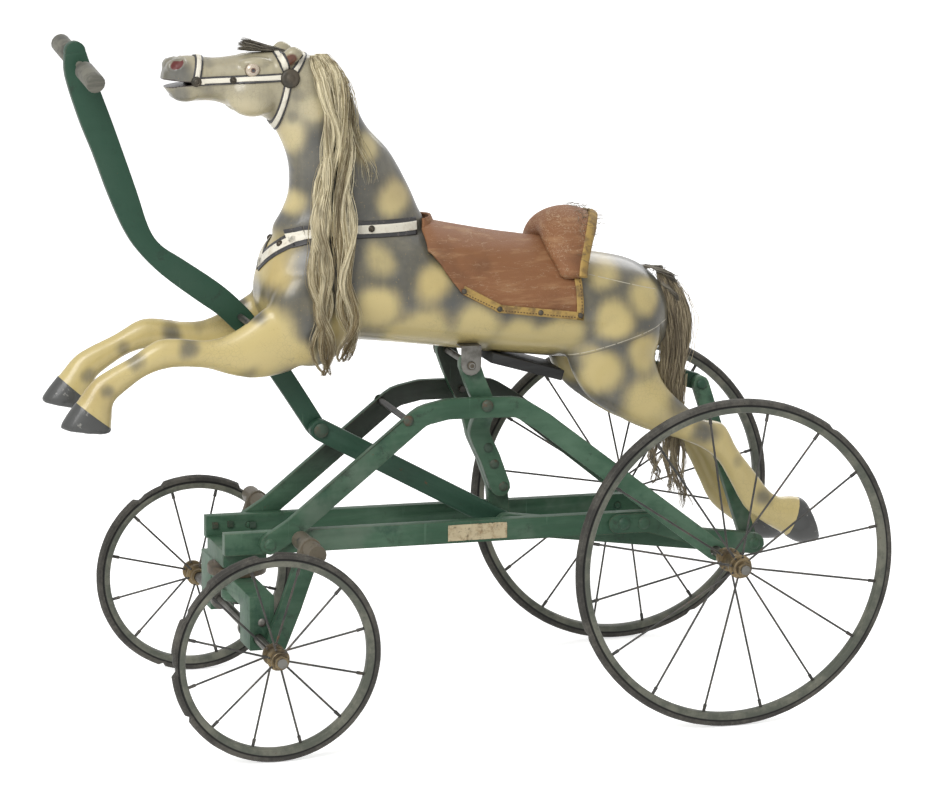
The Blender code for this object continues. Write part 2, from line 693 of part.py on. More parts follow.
def make_truck():
    half = BOLSTER_DEPTH / 2
    x0, x1 = KINGPIN_X - half, KINGPIN_X + half
    king_hole = rod((KINGPIN_X, 0, 0.1), (KINGPIN_X, 0, 0.3), PIN_RADIUS + RUNNING, 16)
    bolster = box((x0, -TRUCK_HALF, BOLSTER_Z[0]), (x1, TRUCK_HALF, BOLSTER_Z[1]))
    boss_low = 0.1445
    boss = [(0, boss_low), (BOSS_RADIUS * 0.85, boss_low), (BOSS_RADIUS, boss_low + 0.004)]
    boss += [(BOSS_RADIUS, BOLSTER_Z[0] + 0.002), (0, BOLSTER_Z[0] + 0.002)]
    bolster = united(bolster, turned(boss, 16, (KINGPIN_X, 0), True))
    plate_radius, turntable_radius = 0.036, 0.028
    bore = PIN_RADIUS + RUNNING
    table = [(bore, STEER_PLATE_Z[0]), (plate_radius, STEER_PLATE_Z[0]), (plate_radius, STEER_PLATE_Z[1])]
    table += [(turntable_radius, STEER_PLATE_Z[1] + 0.0005), (turntable_radius, HEAD_BLOCK_Z[0] - GAP)]
    table += [(bore, HEAD_BLOCK_Z[0] - GAP)]
    place("steering_plate", turned(table, 20, (KINGPIN_X, 0), True), WOOD, TRUCK)
    king_low, king_top, king_head = boss_low - 0.0055, HEAD_BLOCK_Z[1] + 0.003, 0.009
    above, below = HEAD_BLOCK_Z[1] + GAP, boss_low - RUNNING
    king = [(0, king_top), (king_head, king_top), (king_head, above), (PIN_RADIUS, above)]
    king += [(PIN_RADIUS, below), (king_head, below), (king_head, king_low), (0, king_low)]
    place("kingpin", turned(king, 16, (KINGPIN_X, 0), True), BLACK_STEEL, TOY)
    axle_hole = hole(FRONT_AXLE, AXLE_RADIUS + GAP)
    bar_y = TRUCK_HALF + GAP
    foot_line = [(-0.551, 0.121), (-0.533, 0.165), FOOT_PEG]
    for side_name, side in SIDES:
        low = (x0, min(AXLE_BLOCK_INNER * side, TRUCK_HALF * side), AXLE_BLOCK_FOOT)
        high = (x1, max(AXLE_BLOCK_INNER * side, TRUCK_HALF * side), BOLSTER_Z[0] + SEAM)
        bolster = united(bolster, cut(box(low, high), axle_hole))
        bar = plate(band(rounded(foot_line, 0.05), BOARD_WIDTH), bar_y * side, (bar_y + FOOT_BAR_WALL) * side)
        peg = rod((FOOT_PEG[0], FOOT_PEG_INNER * side, FOOT_PEG[1]),
                  (FOOT_PEG[0], FOOT_PEG_OUTER * side, FOOT_PEG[1]), FOOT_PEG_RADIUS, 16)
        place(f"foot_bar_{side_name}", united(cut(bar, axle_hole), peg), GREEN, TRUCK)
    place("bolster", cut(bolster, king_hole), GREEN, TRUCK)


# Sections of the carved pieces: x0, z0, x1, z1, half width, y.
BODY_SECTIONS = [
    (-0.541, 0.508, -0.540, 0.545, 0.020, 0), (-0.530, 0.488, -0.522, 0.585, 0.044, 0),
    (-0.500, 0.472, -0.480, 0.612, 0.061, 0), (-0.450, 0.464, -0.425, 0.612, 0.071, 0),
    (-0.395, 0.458, -0.360, 0.600, 0.076, 0), (-0.332, 0.450, -0.305, 0.588, 0.077, 0),
    (-0.266, 0.440, -0.240, 0.575, 0.077, 0), (-0.195, 0.431, -0.180, 0.566, 0.076, 0),
    (-0.135, 0.424, -0.120, 0.556, 0.074, 0), (-0.090, 0.421, -0.075, 0.547, 0.068, 0),
    (-0.055, 0.422, -0.048, 0.534, 0.057, 0), (-0.032, 0.430, -0.029, 0.514, 0.040, 0),
    (-0.021, 0.448, -0.020, 0.494, 0.018, 0),
]
HEAD_SECTIONS = [
    (-0.490, 0.560, -0.375, 0.570, 0.040, 0), (-0.522, 0.594, -0.347, 0.622, 0.048, 0),
    (-0.509, 0.620, -0.364, 0.657, 0.044, 0), (-0.500, 0.645, -0.385, 0.690, 0.040, 0),
    (-0.501, 0.682, -0.405, 0.722, 0.036, 0), (-0.512, 0.714, -0.424, 0.760, 0.034, 0),
    (-0.530, 0.729, -0.447, 0.792, 0.034, 0), (-0.550, 0.738, -0.483, 0.811, 0.034, 0),
    (-0.570, 0.748, -0.520, 0.814, 0.033, 0), (-0.592, 0.756, -0.556, 0.811, 0.028, 0),
    (-0.614, 0.757, -0.590, 0.808, 0.024, 0), (-0.633, 0.757, -0.615, 0.811, 0.022, 0),
    (-0.646, 0.765, -0.634, 0.811, 0.020, 0), (-0.653, 0.776, -0.648, 0.799, 0.012, 0),
]
FORELEG_SECTIONS = [
    (-0.478, 0.452, -0.500, 0.530, 0.024, 0.040), (-0.510, 0.433, -0.540, 0.512, 0.020, 0.043),
    (-0.552, 0.427, -0.568, 0.492, 0.017, 0.045), (-0.585, 0.433, -0.596, 0.479, 0.015, 0.045),
    (-0.612, 0.442, -0.620, 0.477, 0.014, 0.045), (-0.640, 0.445, -0.642, 0.480, 0.014, 0.045),
    (-0.664, 0.444, -0.672, 0.480, 0.014, 0.045), (-0.688, 0.436, -0.704, 0.461, 0.012, 0.045),
    (-0.711, 0.420, -0.732, 0.447, 0.012, 0.045), (-0.724, 0.409, -0.752, 0.434, 0.013, 0.045),
    (-0.727, 0.402, -0.769, 0.412, 0.016, 0.045), (-0.728, 0.386, -0.782, 0.395, 0.018, 0.045),
    (-0.729, 0.370, -0.792, 0.379, 0.020, 0.045),
]
HIND_LEG_SECTIONS = [
    (-0.155, 0.470, -0.060, 0.480, 0.024, 0.046), (-0.160, 0.431, -0.048, 0.433, 0.026, 0.044),
    (-0.139, 0.388, -0.038, 0.402, 0.023, 0.044), (-0.108, 0.363, -0.024, 0.382, 0.019, 0.045),
    (-0.066, 0.340, -0.002, 0.362, 0.016, 0.045), (-0.022, 0.325, 0.018, 0.346, 0.014, 0.045),
    (0.014, 0.310, 0.045, 0.339, 0.014, 0.045), (0.038, 0.292, 0.064, 0.306, 0.013, 0.045),
    (0.056, 0.262, 0.086, 0.278, 0.012, 0.045), (0.076, 0.228, 0.108, 0.250, 0.012, 0.045),
    (0.100, 0.209, 0.122, 0.241, 0.014, 0.045), (0.126, 0.193, 0.139, 0.241, 0.017, 0.045),
    (0.148, 0.180, 0.151, 0.237, 0.020, 0.045), (0.176, 0.181, 0.155, 0.235, 0.021, 0.045),
]
SHOULDER = (-0.500, 0.480)
HIP = (-0.095, 0.445)


def make_horse():
    body = loft(BODY_SECTIONS, 18)
    head_form = loft(HEAD_SECTIONS, 14)
    ears = [
        loft([
            (-0.524, 0.799, -0.520, 0.803, 0.003, y), (-0.514, 0.798, -0.508, 0.810, 0.008, y),
            (-0.500, 0.802, -0.496, 0.815, 0.008, y), (-0.486, 0.809, -0.484, 0.818, 0.004, y),
            (-0.478, 0.815, -0.477, 0.817, 0.001, y),
        ], 8, 1)
        for y in (-0.026, 0.026)
    ]
    chest_pin = pin(LEVER_PIVOT, -LEG_Y, LEG_Y, SMALL_PIN)
    place("chest_pin", chest_pin, STEEL, HORSE)
    place("horse_body", body, COAT, HORSE)
    eye_spot = (-0.551, 0.795)
    eyes, sockets = [], []
    for side in (LEFT, RIGHT):
        centre = (eye_spot[0], side * 0.0275, eye_spot[1])
        for radius, group in ((EYE_RADIUS, eyes), (EYE_RADIUS + GAP, sockets)):
            bm = bmesh.new()
            bmesh.ops.create_uvsphere(bm, u_segments=12, v_segments=8, radius=radius)
            bmesh.ops.scale(bm, vec=(1, 0.6, 0.9), verts=bm.verts)
            bmesh.ops.translate(bm, vec=centre, verts=bm.verts)
            group.append(mesh_of(bm, "eye"))
    head = cut(united(head_form, *ears), grown(body, GAP), *sockets)
    place("horse_head", head, COAT, HORSE)
    for (side_name, side), eye in zip(SIDES, eyes):
        place(f"glass_eye_{side_name}", eye, GLASS, HORSE)
    pin_hole = hole(LEVER_PIVOT, SMALL_PIN + GAP)
    legs = []
    for (side_name, side), lift in zip(SIDES, (0, 1)):
        fore = loft(turned_sections(FORELEG_SECTIONS, SHOULDER, FAR_FORELEG_LIFT * lift, side), 12, 1)
        hind = loft(turned_sections(HIND_LEG_SECTIONS, HIP, FAR_HIND_LEG_LIFT * lift, side), 12, 1)
        legs += [fore, hind]
        place(f"foreleg_{side_name}", cut(fore, grown(body, GAP), pin_hole), COAT, HORSE)
        place(f"hind_leg_{side_name}", cut(hind, grown(body, GAP)), COAT, HORSE)
    make_brackets(body, legs)
    make_saddle(body, head_form)
    make_harness(body, head_form, ears)
    make_hair(body, head_form, ears, legs)


def make_brackets(body, legs):
    for side_name, side in SIDES:
        line = [ROCK_PIVOT, (ROCK_PIVOT[0], 0.500)]
        y = BELLY_BRACKET_Y * side
        half = BELLY_BRACKET_WALL / 2
        ear = plate(band(line, 2 * BELLY_BRACKET_RADIUS), y - half, y + half)
        ear = cut(ear, grown(body, GAP), hole(ROCK_PIVOT, SMALL_PIN + RUNNING))
        place(f"pivot_bracket_{side_name}", ear, STEEL, HORSE)
    slope = math.atan2(0.415 - 0.442, -0.163 + 0.255)
    along = Vector((math.cos(slope), math.sin(slope)))
    front = Vector((-0.255, 0.4355))
    rear = front + along * 0.096
    raise_by = Vector((-along.y, along.x)) * 0.0065
    outline = [front - raise_by, rear - raise_by, rear + raise_by, front + raise_by]
    board = cut(plate(outline, -0.038, 0.038), grown(body, GAP), *[grown(leg, GAP) for leg in legs])
    place("belly_board", board, WOOD, HORSE)
    block = plate(band([(-0.060, 0.412), RUMP_PIN], 0.020), 0.0, BOARD_WALL)
    block = cut(block, grown(body, GAP), *[grown(leg, GAP) for leg in legs])
    pitman_bolt = bolt(RUMP_PIN, -0.0125 - GAP, BOARD_WALL / 2, SMALL_PIN, 0.007)
    place("rump_block", united(block, pitman_bolt), GREEN, HORSE)


def make_saddle(body, head_form):
    outline = [(-0.345, 0.66), (-0.345, 0.600), (-0.333, 0.563), (-0.305, 0.522), (-0.261, 0.500)]
    outline += [(-0.210, 0.490), (-0.161, 0.485), (-0.151, 0.485), (-0.154, 0.540), (-0.131, 0.591)]
    outline += [(-0.106, 0.600), (-0.106, 0.66)]
    region = plate(outline, -0.12, 0.12)
    skirt = cut(shared(grown(body, SADDLE_WALL), region), grown(body, GAP))
    pad = loft([
        (-0.332, 0.580, -0.331, 0.595, 0.030, 0), (-0.318, 0.570, -0.314, 0.602, 0.050, 0),
        (-0.270, 0.555, -0.266, 0.597, 0.062, 0), (-0.220, 0.550, -0.216, 0.588, 0.062, 0),
        (-0.185, 0.550, -0.182, 0.581, 0.058, 0), (-0.160, 0.550, -0.158, 0.573, 0.050, 0),
    ], 20)
    seat = cut(united(skirt, cut(pad, grown(body, SADDLE_WALL / 2))), grown(head_form, GAP))
    place("saddle", seat, LEATHER, HORSE)
    centre_z, wide, tall = 0.498, 0.076, 0.068
    sections = []
    for degrees in (-66, -50, -30, 0, 30, 50, 66):
        angle = math.radians(degrees)
        thick = 0.006 + 0.021 * math.cos(angle * 1.25) ** 2
        radius_y, radius_z = wide + thick * 0.9, tall + thick * 0.9
        y, z = radius_y * math.sin(angle), centre_z + radius_z * math.cos(angle)
        sections.append((y, z, angle, thick))
    cantle = cantle_mesh(sections)
    seated = cut(cantle, grown(body, SADDLE_WALL + GAP), grown(pad, GAP))
    place("saddle_cantle", seated, LEATHER, HORSE)


def cantle_mesh(sections):
    """The raised rear roll of the saddle, an arch across the back with an oval section."""
    sides = 12
    bm = bmesh.new()
    loops = []
    for y, z, angle, thick in smooth_rows(sections, 2):
        out = Vector((0, math.sin(angle), math.cos(angle)))
        length = 0.022 + 0.020 * math.cos(angle) ** 2
        middle = Vector((-0.148 - 0.012 * math.sin(angle) ** 2, y, z))
        loop = []
        for index in range(sides):
            turn = math.tau * index / sides
            along = Vector((length * math.cos(turn), 0, 0))
            loop.append(bm.verts.new(middle + along + out * thick * math.sin(turn)))
        loops.append(loop)
    for lower, upper in zip(loops, loops[1:]):
        for index in range(sides):
            after = (index + 1) % sides
            bm.faces.new((lower[index], lower[after], upper[after], upper[index]))
    bm.faces.new(loops[0])
    bm.faces.new(loops[-1])
    return mesh_of(bm, "cantle")


def slab(start, end, width):
    """A strip between two (x, z) points, through the full width of the horse."""
    line = [Vector(start), Vector(end)]
    side = (line[1] - line[0]).normalized()
    side = Vector((-side.y, side.x)) * width / 2
    return plate([line[0] + side, line[0] - side, line[1] - side, line[1] + side], -0.12, 0.12)


def make_harness(body, head_form, ears):
    noseband = slab((-0.588, 0.830), (-0.622, 0.735), 0.009)
    headstall = slab((-0.478, 0.850), (-0.530, 0.700), 0.008)
    cheek = slab((-0.617, 0.779), (-0.500, 0.784), 0.009)
    region = united(noseband, headstall, cheek)
    around_ears = [grown(ear, GAP) for ear in ears]
    bridle = cut(shared(grown(head_form, STRAP_WALL), region), grown(head_form, GAP), *around_ears)
    for side_name, side in SIDES:
        rosette = turned([(0, 0.0375), (0.008, 0.0370), (0.0115, 0.034), (0.0115, 0.028), (0, 0.028)], 14,
                         (-0.506, 0.784))
        if side == LEFT:
            bm = bmesh.new()
            bm.from_mesh(rosette)
            bmesh.ops.scale(bm, vec=(1, -1, 1), verts=bm.verts)
            rosette = mesh_of(bm, "rosette")
        bridle = united(bridle, cut(rosette, grown(head_form, GAP)))
    place("bridle", bridle, STRAP, HORSE)
    inner = united(grown(body, GAP), grown(head_form, GAP))
    place("chest_strap", cut(strap_space(body, head_form, 0), inner), STRAP, HORSE)


def strap_space(body, head_form, clearance):
    """The space of the chest strap and all that lies under it, with a clearance around it."""
    outer = united(grown(body, STRAP_WALL + clearance), grown(head_form, STRAP_WALL + clearance))
    line = [(-0.575, 0.572), (-0.540, 0.583), (-0.489, 0.598), (-0.438, 0.602), (-0.3510, 0.601)]
    outline = band(line, STRAP_WIDTH + 2 * clearance, round_start=False)
    return shared(outer, plate(outline, -0.12, 0.12))


def make_hair(body, head_form, ears, legs):
    around_head = grown(head_form, GAP)
    mane = loft([
        (-0.472, 0.806, -0.446, 0.800, 0.010, -0.016), (-0.467, 0.775, -0.436, 0.770, 0.013, -0.034),
        (-0.467, 0.735, -0.430, 0.730, 0.013, -0.043), (-0.473, 0.695, -0.433, 0.690, 0.013, -0.047),
        (-0.482, 0.655, -0.433, 0.650, 0.014, -0.052), (-0.485, 0.612, -0.432, 0.607, 0.014, -0.064),
        (-0.482, 0.567, -0.432, 0.565, 0.013, -0.076), (-0.484, 0.520, -0.430, 0.517, 0.011, -0.080),
        (-0.486, 0.470, -0.430, 0.465, 0.010, -0.080), (-0.474, 0.431, -0.437, 0.430, 0.007, -0.078),
    ], 10)
    mane = cut(mane, grown(body, GAP), around_head, strap_space(body, head_form, GAP))
    place("mane", mane, HAIR, HORSE)
    forelock = loft([
        (-0.498, 0.812, -0.496, 0.826, 0.008, 0), (-0.515, 0.808, -0.513, 0.829, 0.014, 0),
        (-0.540, 0.806, -0.540, 0.829, 0.015, 0), (-0.560, 0.805, -0.561, 0.822, 0.010, 0),
        (-0.570, 0.806, -0.571, 0.814, 0.004, 0),
    ], 8)
    place("forelock", cut(forelock, around_head, *[grown(ear, GAP) for ear in ears]), HAIR, HORSE)
    tail = loft([
        (-0.046, 0.522, -0.030, 0.542, 0.008, -0.004), (-0.032, 0.508, -0.008, 0.528, 0.012, -0.010),
        (-0.020, 0.480, 0.006, 0.490, 0.012, -0.020), (-0.020, 0.440, 0.012, 0.444, 0.010, -0.026),
        (-0.018, 0.400, 0.010, 0.402, 0.0085, -0.0235), (-0.012, 0.360, 0.010, 0.360, 0.008, -0.0225),
        (-0.008, 0.310, 0.012, 0.310, 0.0075, -0.0225), (-0.006, 0.262, 0.012, 0.262, 0.006, -0.0215),
        (0.000, 0.232, 0.010, 0.232, 0.003, -0.0210),
    ], 10)
    near_leg = legs[1]
    place("tail", cut(tail, grown(body, GAP), grown(near_leg, GAP)), HAIR, HORSE)


def stand_at_base_centre():
    """Moves the toy so that its origin is the centre of its box's base."""
    bpy.context.view_layer.update()
    graph = bpy.context.evaluated_depsgraph_get()
    corners = [
        obj.matrix_world @ Vector(corner)
        for obj in PARTS.objects if obj.type == "MESH"
        for corner in obj.evaluated_get(graph).bound_box
    ]
    lows = [min(corner[axis] for corner in corners) for axis in range(3)]
    highs = [max(corner[axis] for corner in corners) for axis in range(3)]
    TOY.location = (-(lows[0] + highs[0]) / 2, -(lows[1] + highs[1]) / 2, -lows[2])


make_wheels()
make_axles()
make_rails()
make_post()
make_beam_and_links()
make_lever()
make_truck()
make_horse()
stand_at_base_centre()
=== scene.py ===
import json
import math
import random

import bmesh
import bpy
from mathutils import Matrix, Vector, noise
from mathutils.bvhtree import BVHTree


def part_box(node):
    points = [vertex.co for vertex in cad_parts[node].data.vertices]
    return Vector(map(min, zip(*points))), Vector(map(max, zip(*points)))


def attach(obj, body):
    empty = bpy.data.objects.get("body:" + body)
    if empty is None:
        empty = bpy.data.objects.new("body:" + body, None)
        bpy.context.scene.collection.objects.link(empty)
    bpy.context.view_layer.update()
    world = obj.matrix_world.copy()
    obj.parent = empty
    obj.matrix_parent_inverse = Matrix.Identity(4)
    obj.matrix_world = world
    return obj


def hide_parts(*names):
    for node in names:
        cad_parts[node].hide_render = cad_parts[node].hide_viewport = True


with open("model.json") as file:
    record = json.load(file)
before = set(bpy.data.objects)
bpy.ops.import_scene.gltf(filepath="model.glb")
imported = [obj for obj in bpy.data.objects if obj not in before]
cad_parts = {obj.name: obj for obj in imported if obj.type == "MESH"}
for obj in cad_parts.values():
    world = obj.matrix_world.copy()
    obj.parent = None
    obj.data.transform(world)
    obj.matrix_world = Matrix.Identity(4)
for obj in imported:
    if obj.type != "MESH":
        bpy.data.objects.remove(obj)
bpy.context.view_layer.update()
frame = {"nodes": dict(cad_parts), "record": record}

yAxis = Vector((0, 1, 0))

# Each x below is measured from the rear axle, so it moves with it. Heights are from the ground.
wheelLow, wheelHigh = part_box("rear_wheel_left")
axleX = (wheelLow.x + wheelHigh.x) / 2


def at(x, z, y=0.0):
    return Vector((x + axleX, y, z))


class Value:
    # A number on its way through a material.
    def __init__(self, owner, socket):
        self.owner = owner
        self.socket = socket

    def math(self, operation, other=None, flip=False):
        pair = [self] if other is None else [other, self] if flip else [self, other]
        return self.owner.node("Math", {"operation": operation}, dict(enumerate(pair)))

    def __add__(self, other):
        return self.math("ADD", other)

    def __radd__(self, other):
        return self.math("ADD", other, True)

    def __sub__(self, other):
        return self.math("SUBTRACT", other)

    def __rsub__(self, other):
        return self.math("SUBTRACT", other, True)

    def __mul__(self, other):
        return self.math("MULTIPLY", other)

    def __rmul__(self, other):
        return self.math("MULTIPLY", other, True)


class Nodes:
    # The nodes of a material or of the world, with one way to add any of them.
    def __init__(self, tree):
        self.tree = tree

    def node(self, kind, settings=None, inputs=None, output=0):
        made = self.tree.nodes.new("ShaderNode" + kind)
        for key, value in (settings or {}).items():
            setattr(made, key, value)
        for key, value in (inputs or {}).items():
            if isinstance(value, Value):
                self.tree.links.new(value.socket, made.inputs[key])
            else:
                made.inputs[key].default_value = value
        return Value(self, made.outputs[output]) if made.outputs else None

    def backdrop(self):
        # 1 for what the camera sees directly, in a reflection or through glass.
        seen = self.node("LightPath", output="Is Camera Ray")
        for ray in ("Is Glossy Ray", "Is Transmission Ray"):
            seen = seen.math("MAXIMUM", self.node("LightPath", output=ray))
        return seen


class Paint(Nodes):
    def __init__(self, name, roughness=0.5, metallic=0.0, **plain):
        self.material = bpy.data.materials.new(name)
        self.material.use_nodes = True
        super().__init__(self.material.node_tree)
        self.shader = self.tree.nodes["Principled BSDF"]
        for key, value in {"Roughness": roughness, "Metallic": metallic, **plain}.items():
            self.shader.inputs[key.replace("_", " ")].default_value = value
        self.place = self.node("TexCoord", output="Object")

    def stretched(self, x, y, z):
        return self.node("Mapping", {}, {"Vector": self.place, "Scale": (x, y, z)})

    def noise(self, scale, detail=3.0, rough=0.55, place=None):
        inputs = {"Vector": place or self.place, "Scale": scale, "Detail": detail, "Roughness": rough}
        return self.node("TexNoise", {}, inputs)

    def cells(self, scale):
        return self.node("TexVoronoi", {"feature": "DISTANCE_TO_EDGE"}, {"Vector": self.place, "Scale": scale})

    def step(self, value, low, high):
        settings = {"interpolation_type": "SMOOTHSTEP", "clamp": True}
        return self.node("MapRange", settings, {"Value": value, "From Min": low, "From Max": high})

    def mix(self, first, second, share):
        pair = [colour if isinstance(colour, Value) else (*colour, 1) for colour in (first, second)]
        return self.node("Mix", {"data_type": "RGBA"}, {0: share, 6: pair[0], 7: pair[1]}, 2)

    def layered(self, colour, *layers):
        # Lays tints over a colour, each with its share.
        for tint, share in layers:
            colour = self.mix(colour, tint, share)
        return colour

    def attribute(self, name):
        return self.node("Attribute", {"attribute_name": name}, {}, "Fac")

    def part(self, axis):
        return self.node("SeparateXYZ", {}, {0: self.place}, "XYZ".index(axis))

    def dot(self, first, second):
        return self.node("VectorMath", {"operation": "DOT_PRODUCT"}, {0: first, 1: second}, "Value")

    def line(self, start, end, width, fade=0.003):
        # A thin line over the horse's sides, between two points.
        length, along = (end - start).length, (end - start).normalized()
        across = along.cross(yAxis)
        away = (self.dot(self.place, across) - start.dot(across)).math("ABSOLUTE")
        passed = self.dot(self.place, along) - start.dot(along)
        ends = self.step(passed, 0.0, fade) * self.step(passed, length, length - fade)
        return self.step(away, width, width * 0.35) * ends

    def edges(self, radius):
        # High where a sharp edge is near.
        eased = self.node("Bevel", {"samples": 6}, {"Radius": radius})
        return 1 - self.dot(eased, self.node("NewGeometry", output="Normal"))

    def finish(self, colour, roughness=None, height=None, strength=0.3, distance=0.001, metallic=None):
        links = {"Base Color": colour, "Roughness": roughness, "Metallic": metallic}
        if height is not None:
            links["Normal"] = self.node("Bump", {}, {"Height": height, "Strength": strength, "Distance": distance})
        for key, value in links.items():
            if value is not None:
                self.tree.links.new(value.socket, self.shader.inputs[key])
        return self.material


greenLook = {
    "paint": (0.032, 0.078, 0.045),
    "pale": (0.075, 0.140, 0.090),
    "bare": (0.190, 0.140, 0.090),
    "grime": (0.018, 0.020, 0.016),
    "dust": (0.125, 0.165, 0.125),
    "deep": (0.016, 0.050, 0.032),
    # inside: the colour of painted shade on frame faces turned inward, between the two sides
    "inside": (0.030, 0.031, 0.027),
    "rust": (0.090, 0.045, 0.022),
    "peg": (0.115, 0.098, 0.070),
    "pegHeight": (0.2225, 0.2240),  # the foot bars' pegs are bare from here up
    "inward": (-0.012, -0.030),  # a face turned inward, times its distance from the middle
    "innerHeight": (0.25, 0.33),
    "edge": 0.0032,
}


def greenPaint(name, pegs=False, deepen=0.0):
    look = greenLook
    paint = Paint(name, Coat_Weight=0.05, Coat_Roughness=0.35, Specular_IOR_Level=0.22)
    broad, fine = paint.noise(7, 4), paint.noise(70, 5, 0.65)
    strokes = paint.noise(18, 3, 0.5, paint.stretched(1, 6, 6))
    faded = paint.step(broad * 0.75 + strokes * 0.25, 0.40, 0.66) * (1 - deepen)
    dust = paint.step(paint.noise(11, 4, 0.6), 0.50, 0.70) * (0.55 * (1 - deepen))
    shade = paint.step(paint.noise(16, 5, 0.7), 0.55, 0.72)
    grime = paint.step(paint.noise(34, 6, 0.75), 0.56, 0.70)
    facing = paint.node("SeparateXYZ", {}, {0: paint.node("NewGeometry", output="Normal")}, 1)
    height = paint.part("Z")
    # Painted shade: faces turned inward, between the frame's two sides and above about 0.25 m, are darkened.
    inside = paint.step(facing * paint.part("Y"), *look["inward"]) * paint.step(height, *look["innerHeight"])
    colour = paint.layered(
        paint.mix(look["paint"], look["pale"], faded), (look["dust"], dust), (look["deep"], deepen),
        (look["deep"], shade * 0.75), (look["grime"], grime * 0.60), (look["inside"], inside * (0.70 + fine * 0.3)),
    )
    if pegs:
        bare = paint.mix(look["peg"], look["grime"], grime)
        colour = paint.mix(colour, bare, paint.step(height, *look["pegHeight"]))
    edge = paint.edges(look["edge"])
    dark = paint.step(edge, 0.06, 0.26) * paint.step(broad, 0.62, 0.44)
    worn = paint.step(edge + fine * 0.34 + broad * 0.18, 0.46, 0.55)
    spots = paint.step(paint.noise(42, 6, 0.75), 0.675, 0.70)
    scratches = paint.step(paint.noise(260, 2, 0.4, paint.stretched(1, 1, 0.04)), 0.70, 0.74)
    colour = paint.layered(
        colour, (look["grime"], dark * 0.55), (look["bare"], worn * 0.75), (look["rust"], spots * 0.8),
        (look["pale"], scratches * 0.6),
    )
    relief = fine * 0.6 + strokes * 0.2 - worn * 0.8 - spots * 0.5
    return paint.finish(colour, 0.40 + fine * 0.2 + worn * 0.15, relief, 0.4, 0.0009)


coatLook = {
    "cream": (0.545, 0.440, 0.190),
    "pale": (0.600, 0.560, 0.430),
    "ochre": (0.400, 0.285, 0.100),
    "grey": (0.068, 0.069, 0.063),
    "greyPale": (0.155, 0.150, 0.128),
    "hoof": (0.055, 0.056, 0.054),
    "hoofWear": (0.24, 0.235, 0.215),
    "nostril": (0.110, 0.018, 0.015),
    "ear": (0.125, 0.042, 0.020),
    "chip": (0.86, 0.84, 0.78),
    "seam": (0.50, 0.46, 0.36),
    # the colour of the painted shadow beside the glued joint
    "seamShadow": (0.10, 0.09, 0.07),
    "mouth": (0.030, 0.018, 0.014),
    "lines": [  # the glued joint, a crack above it, and the joint's shadow: two ends and a width
        ((-0.030, 0.474), (-0.176, 0.432), 0.0007), ((-0.046, 0.512), (-0.139, 0.537), 0.0006),
        ((-0.028, 0.4715), (-0.176, 0.4295), 0.0012),
    ],
}


def coatPaint():
    look = coatLook
    paint = Paint("dappledCoat", Coat_Weight=0.40, Coat_Roughness=0.18, Specular_IOR_Level=0.30)
    broad, fine = paint.noise(9, 4), paint.noise(150, 4, 0.6)
    grey, pale = paint.attribute("grey"), paint.attribute("pale")
    # pale is painted light: it rises towards the top of the horse, most on the head, and lightens the grey ground here.
    lighter = paint.step(paint.noise(22, 3), 0.35, 0.70) * 0.6 + pale * 0.4
    ground = paint.mix(look["grey"], look["greyPale"], lighter)
    specks = paint.step(paint.noise(420, 2, 0.5), 0.66, 0.72)
    crackle = paint.step(paint.cells(190), 0.045, 0.0) * paint.step(paint.noise(14, 3), 0.52, 0.62)
    chips = paint.step(paint.noise(88, 5, 0.78), 0.735, 0.75)
    joint, crack, shadow = [paint.line(at(*start), at(*end), width) for start, end, width in look["lines"]]
    brush = paint.step(paint.noise(120, 3, 0.5, paint.stretched(1, 1, 0.08)), 0.42, 0.66)
    wear = paint.step(paint.noise(60, 6, 0.75) + paint.edges(0.003) * 0.25, 0.60, 0.66)
    hoof = paint.step(paint.attribute("hoof"), -0.0003, 0.0003)
    colour = paint.layered(
        paint.mix(look["cream"], look["ochre"], paint.step(broad, 0.50, 0.74) * 0.5),
        # Painted light: the coat is tinted paler towards the top.
        (look["pale"], pale * 0.75),
        (ground, paint.step(grey + fine * 0.10 + broad * 0.20 - 0.15, 0.0, 1.0)),
        (look["ochre"], specks * 0.35),
        (look["grey"], crackle * 0.22),
        (look["chip"], chips),
        # Painted shadow beside the glued joint.
        (look["seamShadow"], shadow * 0.5),
        (look["seam"], (joint + crack) * paint.step(fine, 0.36, 0.44) * 0.9),
        (look["grey"], brush * grey * 0.30),
        (look["mouth"], paint.step(paint.attribute("mouth"), 0.2, 0.8)),
        (look["nostril"], paint.step(paint.attribute("nostril"), 0.0, 0.15)),
        (look["ear"], paint.step(paint.attribute("ear"), 0.0, 0.3)),
        (paint.mix(look["hoof"], look["hoofWear"], wear * 0.8), hoof),
    )
    height = fine * 0.25 + paint.noise(26, 2) * 0.75 - crackle * 0.35 - chips * 0.8
    return paint.finish(colour, 0.30 + fine * 0.12 + hoof * 0.15, height, 0.22, 0.0012)


leatherLook = {
    "brown": (0.240, 0.108, 0.048),
    "dark": (0.105, 0.048, 0.026),
    "tan": (0.380, 0.215, 0.105),
    "fray": (0.52, 0.39, 0.25),
}


